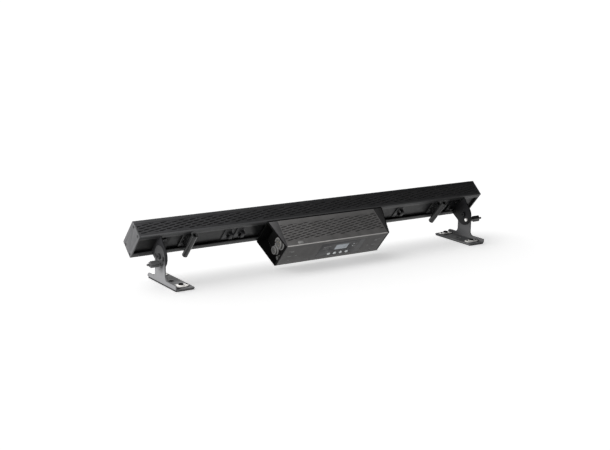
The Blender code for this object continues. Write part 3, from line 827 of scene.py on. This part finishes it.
def optics():
    """Per side: a black mask with a moulded lens in each hole, over an LED on a white board."""
    for name in SIDES:
        node = f"lens_array_{name}"
        low, high = extent(node, BATTEN)
        board = extent(f"led_board_{name}", BATTEN)[1].z
        pitch = (high.x - low.x) / LENSES
        centres = [low.x + pitch * (i + 0.5) for i in range(LENSES)]
        places = [Matrix.Translation((x, 0, 0)) for x in centres]
        outline = rounded_rectangle((low.x, high.x), (-30, 30), 1.5)
        holes = [rod((x, 0), 22.4, 48, "Z", 30, 40) for x in centres]
        mask = eased(cut(prism(outline, "Z", 33, 35), *holes), 0.4)
        piece(f"lens_mask_{name}", mask, "black_plastic", [node])
        profile = [(0.0, board + 1.2), (5.0, board + 1.6), (6.4, board + 1.2)]
        for t in (0.2, 0.4, 0.6, 0.8, 1.0):
            profile.append((6.4 + 15.2 * t, board + 1.2 + (32 - board) * t**1.6))
        profile += [(22.1, 34.6), (21.4, 35.2)]
        for ring in range(6):
            outer = 21.0 - ring * 2.6
            profile += [(outer, 35.3), (outer - 1.3, 35.9), (outer - 2.4, 35.3)]
        profile += [*arc((0.0, 31.0), 6.9, 38, 90, 6)[:-1], (0.0, 37.9)]
        lenses = copies(turned(profile, 48), places)
        piece(f"lenses_{name}", lenses, "lens", smooth=40)
        base = eased(block((-3.4, 3.4), (-3.4, 3.4), (board + 0.1, board + 0.7)), 0.2)
        piece(f"led_bases_{name}", copies(base, places), "grey_plastic")
        square = rounded_rectangle((-2.2, 2.2), (-2.2, 2.2), 0.5, 3)
        dies = copies(prism(square, "Z", board + 0.75, board + 1.1), places)
        piece(f"led_dies_{name}", dies, "phosphor")
        carried(f"led_board_{name}", "white_board")


# ---- the power supply box

HOOD_HIGH = extent("psu_hood_right", BATTEN)[1]
PANEL_LOW, PANEL_HIGH = extent("control_panel", BATTEN)
BOX_RADIUS = 2.0
SHELL_BASE = 141.0
HOOD_WALL = 1.4
PLATE_DEPTH = 14.3
TRIM = 1.2
HOOD_TIP = 151.0


def shell_end(z):
    """Half the textured shell's length at a depth."""
    share = (z - BOX_LOW.z) / (BOX_HIGH.z - BOX_LOW.z)
    return BOX_HIGH.x + (SHELL_BASE - BOX_HIGH.x) * share


def box_housing():
    inside = HALF - WALL
    outer = BOX_LOW.z
    half = [(inside, BOX_HIGH.z), (HALF, BOX_HIGH.z), (HALF, BOX_RELIEF[1] + 0.4)]
    first = len(half)
    half += relief_points(*BOX_RELIEF)
    last = len(half) - 1
    half += [(HALF, BOX_RELIEF[0] - 0.4)]
    half += arc((HALF - BOX_RADIUS, outer + BOX_RADIUS), BOX_RADIUS, 0, -90, 6)
    outline = [*mirrored(half), (-inside, outer + WALL), (inside, outer + WALL)]
    relief = pressed(BOX_WAVE_DEPTH, first, last, 2 * len(half), lambda z: shell_end(z) - 4)
    stations = [-1.0, *steps_between(-0.97, 0.97, 0.0127), 1.0]
    shape = swept(outline, stations, relief, lambda station, z: station * shell_end(z))
    gap = Vector((0.3, 0.3, 0))
    x, y, _ = zip(PANEL_LOW - gap, PANEL_HIGH + gap)
    shape = cut(shape, block(x, y, (outer - 5, outer + WALL + 1)))
    piece("box_shell", shape, "box_coat", ["psu_housing"], smooth=28)
    # The base plate is near-black: painted shade in the recesses
    carried("psu_base_plate", "black_and_shade_coat", 0.5)


def box_badge():
    """A small blank badge on the box's upper side."""
    outline = rounded_rectangle((-115, -99), (BOX_LOW.z + 4.0, BOX_LOW.z + 10.4), 3.1, 8)
    shape = eased(prism(outline, "Y", -HALF - 0.3, -HALF + 0.2), 0.1)
    piece("badge", shape, "badge")


def hood_part(side, skin, wall, inner, inset):
    """Part of a hood, from its skin to its wall depth.

    Inner is where it begins, as X by the bar and X at its outer face, and it stops short of the
    slanted edge by the inset.
    """
    outer = BOX_LOW.z
    top = HOOD_HIGH.z
    inside = HALF - wall
    half = [(inside, top), (HALF - skin, top)]
    half += arc((HALF - BOX_RADIUS, outer + BOX_RADIUS), BOX_RADIUS - skin, 0, -90, 8)
    section = [*mirrored(half), (-inside, outer + wall), (inside, outer + wall)]
    edge = HOOD_HIGH.x - inset
    tip = HOOD_TIP - inset
    cutter = [(inner[0], top + 1), (edge, top + 1), (edge, top), (tip, outer), (tip, outer - 5)]
    cutter += [(inner[1], outer - 5), (inner[1], outer)]
    sheet = prism(section, "X", *span(110, HOOD_HIGH.x + 5, side))
    wedge = prism(sided(cutter, side), "Y", -HALF - 2, HALF + 2)
    return combined(sheet, ("INTERSECT", wedge))


def box_hoods():
    """The slanted hoods at the box's ends: a sheet, a near-black lining inside it that paints
    the recess's shade, and a rubber trim round it.
    """
    seam = (shell_end(HOOD_HIGH.z) + 0.3, BOX_HIGH.x + 0.3)
    mouth = (HOOD_HIGH.x - TRIM - 0.8, HOOD_TIP - TRIM - 0.8)
    for name, side in SIDES.items():
        sheet = eased(hood_part(side, 0.0, HOOD_WALL, seam, TRIM), 0.3, 3)
        piece(f"hood_{name}", sheet, f"hood_coat_{name}", [f"psu_hood_{name}"])
        plate = reach(f"connector_plate_{name}", BATTEN)[1] + 0.1
        # A near-black lining: painted shade inside the hood's recess
        lining = hood_part(side, HOOD_WALL, WALL + 0.1, (plate, plate), TRIM)
        piece(f"hood_shade_lining_{name}", lining, "black_and_shade_coat")
        trim = hood_part(side, 0.0, WALL + 0.3, mouth, 0.0)
        piece(f"hood_trim_{name}", trim, "trim")
        # The connector plate is near-black too: painted shade in the recess
        carried(f"connector_plate_{name}", "black_and_shade_coat")


def sockets():
    """The recessed connectors: a locking mains pair, a data pair and a fuse holder."""
    for node, side, kind in (
        ("power_inlet", -1, "power"),
        ("power_outlet", 1, "power"),
        ("data_socket_in", -1, "data"),
        ("data_socket_out", 1, "data"),
        ("fuse_holder", -1, "fuse"),
    ):
        low, high = extent(node, BATTEN)
        centre = (low + high) / 2
        radius = (high.y - low.y) / 2
        back, front = reach(node, BATTEN)
        place = aimed((0, centre.y, centre.z), (side, 0, 0))
        if kind == "fuse":
            fuse_cap(node, place, radius, back + PLATE_DEPTH, front)
        else:
            socket(node, place, radius, back + PLATE_DEPTH, front, kind == "power")


def fuse_cap(node, place, radius, face, front):
    profile = [(0.0, face), (radius, face), (radius, face + 1.6), (radius - 0.4, face + 2.0)]
    profile += [(radius - 1.5, face + 2.2), (radius - 1.6, front - 0.5), (radius - 2.1, front)]
    shape = turned([*profile, (0.0, front)], 48)
    shape = cut(shape, block((-3.2, 3.2), (-0.6, 0.6), (front - 1.5, front + 1)))
    piece("fuse_cap", moved(shape, place), "socket_face", [node])


def socket(node, place, radius, face, front, power):
    """A flanged barrel with a keyed core, its contacts set in, and two small flange screws."""
    barrel = radius - (3.0 if power else 2.0)
    bore = barrel - (3.0 if power else 2.2)
    floor = front - 2.2
    ring = [(0.0, face), (radius - 0.5, face), (radius, face + 0.5), (radius, face + 1.9)]
    ring += [(radius - 0.6, face + 2.5), (barrel + 0.8, face + 2.5), (barrel, face + 3.3)]
    ring += [(barrel, front - 0.8), (barrel - 0.8, front), (bore + 0.6, front)]
    shell = turned([*ring, (bore, front - 0.6), (bore, floor), (0.0, floor)], 72)
    if power:
        key = block((bore - 1.5, barrel + 2), (-1.7, 1.7), (front - 3, front + 2))
        shell = cut(shell, *[moved(key.copy(), turn_about_z(angle)) for angle in (0, 130, 235)])
    piece(f"{node}_ring", moved(shell, place), "grey_plastic", [node])

    core = bore - 0.6
    top = front - 0.9
    profile = [(0.0, floor - 0.5), (core, floor - 0.5), (core, top - 0.5), (core - 0.5, top)]
    holes = []
    pins = []
    for i in range(3):
        angle = math.tau * i / 3 + math.pi / 2
        x = core * 0.56 * math.cos(angle)
        y = core * 0.56 * math.sin(angle)
        if power:
            blade = rounded_rectangle((x - 0.8, x + 0.8), (y - 2.0, y + 2.0), 0.3, 2)
            holes.append(prism(blade, "Z", top - 1.2, front + 1))
            pins.append(block((x - 0.3, x + 0.3), (y - 1.5, y + 1.5), (floor, top - 0.4)))
        else:
            holes.append(rod((x, y), 1.0, 20, "Z", top - 1.2, front + 1))
            pins.append(rod((x, y), 0.7, 16, "Z", floor, top - 0.4))
    shape = moved(cut(turned([*profile, (0.0, top)], 48), *holes), place)
    piece(f"{node}_core", shape, "socket_face")
    piece(f"{node}_contacts", moved(joined(pins), place), "brass")
    seat = Matrix.Translation((radius - 1.7, 0, face + 2.4))
    screws(f"{node}_screws", 1.1, 0.7, [place @ turn_about_z(angle) @ seat for angle in (45, 225)])


# ---- the control panel

LIGHTS_X = 57.0
TEXT_X = -33.0
LABEL_X = 118.0


def control_panel():
    face = PANEL_LOW.z
    low, high = extent("display_window", BATTEN)
    x = (low.x - 0.3, high.x + 0.3)
    y = (low.y - 0.3, high.y + 0.3)
    holes = [prism(rounded_rectangle(x, y, 1.0, 4), "Z", face - 2, 0)]
    buttons = [extent(f"menu_button_{number}", BATTEN) for number in range(1, 5)]
    for ends in buttons:
        holes.append(rod((sum(ends, Vector()) / 2).xy, 4.9, 40, "Z", face - 2, 0))
    shape = eased(cut(slab(PANEL_LOW, PANEL_HIGH, 1.2, 4), *holes), 0.2)
    piece("panel", shape, "film", ["control_panel"])
    pane = eased(slab(low, high, 0.8, 4), 0.2)
    piece("display_pane", pane, "display", ["display_window"])
    for number, ends in enumerate(buttons, start=1):
        button_cap(number, *ends)
    profile = [(0.0, face + 0.3), (1.5, face + 0.3), (1.5, face - 0.1), (1.0, face - 0.4)]
    profile += [(0.0, face - 0.5)]
    lights = joined([turned(profile, 32, centre=(LIGHTS_X, y)) for y in (-11.0, -2.0)])
    piece("status_lights", lights, "button")
    carried("display_module", "black_plastic")
    for node in ("control_board", "power_supply_board", "led_driver_board"):
        carried(node, "board")


def button_cap(number, low, high):
    """A button with a dished top, on a shoulder that holds it in and a stem."""
    top = low.z
    profile = [(0.0, high.z), (1.5, high.z), (1.5, top + 4.6), (6.0, top + 4.6), (6.0, top + 3.6)]
    profile += [(4.5, top + 3.6), (4.5, top + 0.9), (4.35, top + 0.45), (4.0, top + 0.15)]
    profile += [(3.5, top), (2.4, top + 0.12), (0.0, top + 0.25)]
    shape = turned(profile, 48, centre=((low + high) / 2).xy)
    node = f"menu_button_{number}"
    piece(f"button_cap_{number}", shape, "button", [node], f"button_{number}")


def panel_marks():
    """Plain printed marks: arrows over the buttons, bars by the display and the sockets."""
    face = PANEL_LOW.z
    ink = (face - 0.06, face + 0.1)
    outlines = (
        [(-1.6, 0.0), (1.6, 0.0), (0.0, -2.4)],
        [(-1.6, -2.4), (1.6, -2.4), (0.0, 0.0)],
        [(-1.8, -1.5), (1.8, -1.5), (1.8, -0.8), (-1.8, -0.8)],
        [(-1.2, -2.3), (1.2, -2.3), (1.2, 0.0), (-1.2, 0.0)],
    )
    marks = []
    for number, outline in enumerate(outlines, start=1):
        low, high = extent(f"menu_button_{number}", BATTEN)
        x = (low.x + high.x) / 2
        marks.append(prism([(x + a, low.y - 1.6 + b) for a, b in outline], "Z", *ink))
    for y, thickness, length in ((-13.5, 2.2, 22.0), (-8.0, 1.0, 17.0), (-4.5, 1.0, 19.0)):
        marks.append(block((TEXT_X, TEXT_X + length), (y, y + thickness), ink))
    for y in (-11.6, -2.6):
        marks.append(block((LIGHTS_X + 3.5, LIGHTS_X + 11.0), (y, y + 1.2), ink))
    ink = (BOX_LOW.z - 0.06, BOX_LOW.z + 0.1)
    for side in SIDES.values():
        for y, length in ((-16.0, 16.0), (-12.5, 9.0), (4.5, 12.0), (21.0, 5.0)):
            marks.append(block(span(LABEL_X, LABEL_X + length, side), (y, y + 1.5), ink))
        marks.append(prism(sided([(104.0, 3.5), (104.0, 7.0), (109.0, 5.25)], side), "Z", *ink))
    piece("printed_marks", joined(marks), "ink")
    x = (PANEL_HIGH.x - 15, PANEL_HIGH.x - 1)
    field = block(x, (PANEL_LOW.y + 1, PANEL_HIGH.y - 1), (face - 0.05, face + 0.1))
    piece("panel_end_field", field, "pale_film")


# ---- on the back

CLIP_HALF = 4.5


def tubes():
    for name in SIDES:
        node = f"cross_tube_{name}"
        low, high = extent(node, BATTEN)
        x = low.x + 18
        z = low.z + 7
        saddle = high.z - 2.8
        tube = [(4.25, low.y + 0.4), (4.65, low.y), (6.6, low.y), (7.0, low.y + 0.4)]
        tube += [(radius, -y) for radius, y in reversed(tube)]
        web = block((x - 4, x + 4), (-20, 20), (z + 5.2, high.z - 1))
        foot = prism(rounded_rectangle((low.x, high.x), (-24, 24), 2.0), "Z", saddle, high.z)
        shape = united(turned(tube, axis="Y", centre=(x, z)), web, eased(foot, 0.5))
        piece(f"tube_{name}", shape, "tube_coat", [node])
        places = [aimed((x - 11.5, y, saddle), (0, 0, -1)) for y in (-8.0, 8.0)]
        screws(f"tube_screws_{name}", 3.2, 1.8, places)


def clips():
    for name in ("left_outer", "left_inner", "right"):
        node = f"cable_clip_{name}"
        low, high = extent(node, BATTEN)
        floor = high.z
        x = (low.x + high.x) / 2 + CLIP_HALF
        base = prism(rounded_rectangle((low.x, high.x), (-20, 20), 2.0), "Z", floor - 2, floor)
        piece(f"clip_base_{name}", eased(base, 0.4), "coat")
        half = [(10.2, floor - 1.5), (9.0, floor - 3.2), *arc((5.0, -2.0), 4.0, 0, -90, 8)]
        outline = mirrored(half)
        inner = [(6.5, floor - 1.5), *arc((5.0, -2.0), 1.5, 0, -90, 6)]
        outline += [(-a, b) for a, b in inner] + list(reversed(inner))
        saddle = eased(prism(outline, "X", x - CLIP_HALF, x + CLIP_HALF), 0.5)
        piece(f"clip_{name}", saddle, "black_plastic", [node])
        places = [aimed((x, y, floor - 2), (0, 0, -1)) for y in (-14.8, 14.8)]
        screws(f"clip_screws_{name}", 2.6, 1.6, places)


# ---- yokes and clamps

CLAMP = 18.5
YOKE_ROOT = 33.0
YOKE_RADIUS = 28.0
YOKE_MIDDLE = 430.0
YOKE_SCREWS = {"upper": -16.0, "lower": 16.0}
SHEET = 3.0
PIVOT_BORE = 4.35
THREADS = 22


def yokes():
    for name, side in SIDES.items():
        body = f"{name}_yoke"
        node = f"{name}_yoke_arm"
        high = extent(node, YOKE)[1]
        inside, outside = reach(node, YOKE)
        top = high.z
        root = Vector((YOKE_ROOT, BEHIND - 1.0))
        start = math.degrees(math.atan2(root.y, root.x) - math.acos(YOKE_RADIUS / root.length))
        half = [(YOKE_ROOT, top), tuple(root), *arc((0, 0), YOKE_RADIUS, start, -85, 30)]
        arm = prism(mirrored(half), "X", *span(outside - SHEET, outside, side))
        foot = rounded_rectangle(span(inside, outside, side), (-high.y, high.y), 2.0)
        through = span(outside - 10, outside + 10, side)
        centres = [(side * YOKE_MIDDLE, y) for y in YOKE_SCREWS.values()]
        shape = cut(
            united(arm, prism(foot, "Z", top - 2.9, top)),
            rod((0, 0), PIVOT_BORE, ROUND, "X", *through),
            rod((0, -CLAMP), 3.2, 40, "X", *through),
            *[rod(centre, 2.8, 32, "Z", top - 6, top + 2) for centre in centres],
        )
        shape = eased(shape, 0.45, 3)
        piece(f"{name}_yoke_sheet", shape, "yoke_coat", [node], body, YOKE)
        for place, y in YOKE_SCREWS.items():
            node = f"{name}_yoke_screw_{place}"
            low, high = extent(node, YOKE)
            seat = top - 3.2
            drum = [(0.0, high.z), (2.4, high.z), (2.4, seat), (4.5, seat), (4.5, seat - 2.6)]
            drum += [(4.1, seat - 3.2), (0.0, seat - 3.2)]
            head = cut(turned(drum, 40), rod((0, 0), 2.3, 6, "Z", low.z - 2, low.z + 2))
            moved(head, Matrix.Translation((side * YOKE_MIDDLE, y, 0)))
            head_name = f"{name}_jack_screw_{place}"
            piece(head_name, head, "black_zinc", [node], body, YOKE)


def along_x(profile, side, **lobes):
    """A turned part along X, from a profile of (radius, distance out)."""
    return turned([(radius, height * side) for radius, height in profile], axis="X", **lobes)


def pivot_bolt(name, side, body):
    node = f"{name}_pivot_bolt"
    near, far = reach(node, YOKE)
    profile = [(0.0, near), (6.2, near), (6.8, near + 0.5), (7.0, near + 1.2), (7.0, near + 4.0)]
    profile += [(4.0, near + 4.0), (4.0, far - 4.0), (7.0, far - 4.0), (7.0, far - 1.2)]
    shape = along_x([*profile, (6.8, far - 0.5), (6.2, far), (0.0, far)], side)
    for low, high in ((far - 2.6, far + 1), (near - 1, near + 2.6)):
        shape = cut(shape, rod((0, 0), 3.0, 6, "X", *span(low, high, side)))
    piece(f"{name}_tilt_bolt", shape, "yoke_coat", [node], body, YOKE)


def clamp(name, side, body):
    """A threaded stud with a ball end, and the lobed knob that turns on it."""
    drop = Matrix.Translation((0, 0, -CLAMP))
    node = f"{name}_clamp_stud"
    near, far = reach(node, YOKE)
    knob_near, knob_far = reach(f"{name}_clamp_knob", YOKE)
    neck = knob_far - 4.0
    profile = [(0.0, near), (3.6, near), (4.3, near + 0.4), (4.5, near + 1.0), (4.5, near + 4)]
    profile += [(2.9, near + 4), (2.9, near + 12)]
    pitch = (neck - near - 12) / THREADS
    for i in range(THREADS):
        start = near + 12 + i * pitch
        profile += [(2.9, start + pitch * 0.3), (2.55, start + pitch * 0.65)]
    stud = moved(along_x([*profile, (2.9, neck), (0.0, neck)], side), drop)
    piece(f"{name}_clamp_bolt", stud, "zinc", [node], body, YOKE)

    profile = [(0.0, neck + 0.1), (2.9, neck + 0.1), (2.9, far - 7.3)]
    profile += [(2.1, far - 6.5), (1.9, far - 5.3)]
    for degrees in range(-45, 90, 15):
        angle = math.radians(degrees)
        profile.append((2.9 * math.cos(angle), far - 2.7 + 2.7 * math.sin(angle)))
    tip = moved(along_x([*profile, (0.0, far)], side), drop)
    piece(f"{name}_clamp_tip", tip, "knob_plastic", body=body, place=YOKE)

    near, far = knob_near, knob_far
    profile = [(3.2, near), (5.6, near), (6.0, near + 0.4), (6.0, near + 9.0), (6.6, near + 9.8)]
    profile += [(6.8, near + 10.4), (6.9, near + 11.6), (6.9, far - 2.4), (6.7, far - 1.0)]
    profile += [(6.5, far - 0.2), (4.6, far), (4.2, far - 0.9), (3.2, far - 0.9)]
    knob = moved(along_x(profile, side, segments=90, lobes=5, lobe_depth=1.3, lobed_from=6.4), drop)
    node = f"{name}_clamp_knob"
    piece(f"{name}_knob", knob, "knob_plastic", [node], f"{name}_clamp", YOKE)


# ---- feet

SLOT_HALF = 3.3
# Holes in a foot's plate, each with its radius and number of sides. They take a clamp's bolt, a
# safety wire and the two locks
FOOT_HOLES = (
    ((425.0, -7.0), (6.5, 48)),
    ((437.0, -7.0), (2.1, 24)),
    ((426.0, -56.0), (4.2, 32)),
    ((426.0, 49.0), (4.2, 32)),
)
PAD_HOLE = 7.5
RIVETS = (-14.5, 14.5)


def foot_sheets():
    """Each foot: an upright with a half-round slot for the clamp's stud, folded from its plate."""
    fillet = 10.0
    corner = 8.0
    slot = arc((0, 0), CLAMP + SLOT_HALF, 0, -180, 64)
    slot += arc((-CLAMP, 0), SLOT_HALF, 180, 0, 16)[1:-1]
    slot += arc((0, 0), CLAMP - SLOT_HALF, -180, 0, 56)
    slot += arc((CLAMP, 0), SLOT_HALF, 180, 0, 16)[1:-1]
    for name, side in SIDES.items():
        body = f"{name}_foot"
        node = f"{name}_foot_bracket"
        low, high = extent(node, LEVEL)
        inside, outside = reach(node, LEVEL)
        base = low.z
        flange = base + 10.7
        arm = high.z
        outline = [(low.y, base), (low.y, flange)]
        outline += arc((-arm - fillet, flange + fillet), fillet, -90, 0, 12)
        outline += arc((0, 0), arm, 180, 0, 48)
        outline += arc((arm + fillet, flange + fillet), fillet, 180, 270, 12)
        outline += [*arc((high.y - corner, flange - corner), corner, 90, 0, 12), (high.y, base)]
        upright = prism(outline, "X", *span(outside - SHEET, outside, side))
        plate = rounded_rectangle(span(inside, outside + 6, side), (low.y, high.y), 2.5, 6)
        past = block(span(outside, outside + 20, side), (-200, 200), (base - 5, base + 20))
        plate = cut(prism(plate, "Z", base, base + SHEET), past)
        through = span(outside - 10, outside + 10, side)
        shape = cut(
            united(upright, plate),
            rod((0, 0), PIVOT_BORE, 48, "X", *through),
            prism(slot, "X", *through),
            *[rod((side * x, y), *size, "Z", base - 2, base + 6) for (x, y), size in FOOT_HOLES],
        )
        shape = bend(flattened(shape), 3.2, outside, base)
        shape = eased(bend(shape, 0.9, outside - SHEET, base + SHEET, 3), 0.4)
        piece(f"{name}_foot_sheet", shape, "foot_coat", [node], body, LEVEL)
        foot_pad(name, side, body)
        for place in ("near", "far"):
            quarter_turn_lock(name, body, place)


def foot_pad(name, side, body):
    """A rubber pad with shallow ribs on its underside."""
    node = f"{name}_foot_pad"
    low, high = extent(node, LEVEL)
    x = (low.x - 1, high.x + 1)
    hole_x, hole_y = FOOT_HOLES[0][0]
    hole = rod((side * hole_x, hole_y), PAD_HOLE, 48, "Z", low.z - 2, high.z + 2)
    grooves = [block(x, (y - 0.6, y + 0.6), (low.z - 1, low.z + 0.5)) for y in range(-72, 61, 6)]
    shape = eased(cut(slab(low, high, 2.0, 6), hole, *grooves), 0.2)
    piece(f"{name}_pad", shape, "rubber", [node], body, LEVEL)


def quarter_turn_lock(name, body, place):
    """A riveted plate, and the slotted cam that turns in it."""
    node = f"{name}_lock_plate_{place}"
    low, high = extent(node, LEVEL)
    centre = (low + high) / 2
    half_width = (high.y - low.y) / 2
    straight = (high.x - low.x) / 2 - half_width
    outline = arc((centre.x + straight, centre.y), half_width, -90, 90, 24)
    outline += arc((centre.x - straight, centre.y), half_width, 90, 270, 24)
    plate = prism(outline, "Z", low.z, high.z)
    plate = eased(cut(plate, rod(centre.xy, 4.2, 40, "Z", low.z - 1, high.z + 1)), 0.45, 3)
    piece(f"{node}_sheet", plate, "zinc", [node], body, LEVEL)
    places = [Matrix.Translation((centre.x + x, centre.y, high.z - 0.02)) for x in RIVETS]
    collar = [(0.0, 0.0), (3.4, 0.0), (3.3, 0.6), (2.7, 0.9), (0.0, 0.9)]
    shape = copies(turned(collar, 32), places)
    piece(f"{name}_collars_{place}", shape, "zinc", body=body, place=LEVEL)
    stub = [(0.0, 0.5), (2.2, 0.5), (2.2, 1.7), (1.8, 2.2), (0.0, 2.3)]
    shape = copies(turned(stub, 32), places)
    piece(f"{name}_rivets_{place}", shape, "black_and_shade_coat", body=body, place=LEVEL)

    node = f"{name}_lock_cam_{place}"
    rider = f"{name}_lock_{place}"
    cam_low, cam_high = extent(node, LEVEL)
    seat = Matrix.Translation((centre.x, centre.y, 0))
    rest = high.z + 0.3
    top = cam_high.z
    profile = [(0.0, cam_low.z), (3.8, cam_low.z), (3.8, rest), (7.6, rest), (8.0, rest + 0.4)]
    flange = turned([*profile, (8.0, rest + 0.8), (7.6, rest + 1.2), (0.0, rest + 1.2)])
    piece(f"{name}_cam_{place}", moved(flange, seat), "zinc", [node], rider, LEVEL)
    profile = [(0.0, rest + 1.1), (6.0, rest + 1.1), (5.6, top - 0.5), (5.1, top), (0.0, top)]
    slot = prism(rounded_rectangle((-4.4, 4.4), (-0.9, 0.9), 0.8, 5), "Z", top - 1.2, top + 1)
    drum = moved(eased(cut(turned(profile, 48), slot), 0.12), seat)
    piece(f"{name}_cam_drum_{place}", drum, "black_and_shade_coat", body=rider, place=LEVEL)


# ---- stage


def make_floor():
    shape = bmesh.new()
    bmesh.ops.create_grid(shape, x_segments=1, y_segments=1, size=40.0)
    floor = object_of("floor", shape)
    nodes = Nodes("floor_paper")
    tone = nodes.ramp(nodes.noise(0.6, 2.0), (0.3, (0.9, 0.9, 0.9)), (0.7, (0.92, 0.92, 0.92)))
    look = {"Base Color": tone, "Roughness": 0.9, "Specular IOR Level": 0.1}
    glow = {"Emission Color": (1.0, 1.0, 1.0, 1.0), "Emission Strength": FLOOR_GLOW}
    nodes.give(nodes.shader, {**look, **glow})
    floor.data.materials.append(nodes.material)
    return floor


def make_world():
    """White light from all round: bright about the backdrop's direction, and dim elsewhere."""
    world = bpy.data.worlds.new("studio")
    world.use_nodes = True
    tree = world.node_tree
    sky = tree.nodes["Background"]
    where = tree.nodes.new("ShaderNodeTexCoord").outputs["Generated"]
    facing = tree.nodes.new("ShaderNodeVectorMath")
    facing.operation = "DOT_PRODUCT"
    facing.inputs[1].default_value = BACKDROP
    tree.links.new(where, facing.inputs[0])
    fade = tree.nodes.new("ShaderNodeMapRange")
    fade.interpolation_type = "SMOOTHSTEP"
    limits = {"From Min": 0.4, "From Max": 0.95, "To Min": SKY_DIM, "To Max": SKY_BRIGHT}
    for key, value in limits.items():
        fade.inputs[key].default_value = value
    tree.links.new(facing.outputs["Value"], fade.inputs["Value"])
    tree.links.new(fade.outputs["Result"], sky.inputs["Strength"])
    sky.inputs["Color"].default_value = (1.0, 1.0, 1.0, 1.0)
    bpy.context.scene.world = world
    bpy.context.scene.view_settings.view_transform = "Standard"


def make_light(floor):
    data = bpy.data.lights.new("key", "AREA")
    data.size = KEY_SIZE
    data.energy = KEY_POWER
    light = bpy.data.objects.new("key", data)
    light.location = KEY_PLACE
    aim = Vector(KEY_AIM) - Vector(KEY_PLACE)
    light.rotation_euler = aim.to_track_quat("-Z", "Y").to_euler()
    bpy.context.scene.collection.objects.link(light)
    light.visible_camera = False
    light.visible_glossy = False
    unlit = bpy.data.collections.new("not_lit_by_key")
    unlit.objects.link(floor)
    unlit.collection_objects[0].light_linking.link_state = "EXCLUDE"
    light.light_linking.receiver_collection = unlit


bar_body()
end_caps()
bezel()
optics()
box_housing()
box_badge()
box_hoods()
sockets()
control_panel()
panel_marks()
tubes()
clips()
yokes()
for side_name, side_sign in SIDES.items():
    pivot_bolt(side_name, side_sign, f"{side_name}_yoke")
    clamp(side_name, side_sign, f"{side_name}_yoke")
foot_sheets()
make_world()
make_light(make_floor())
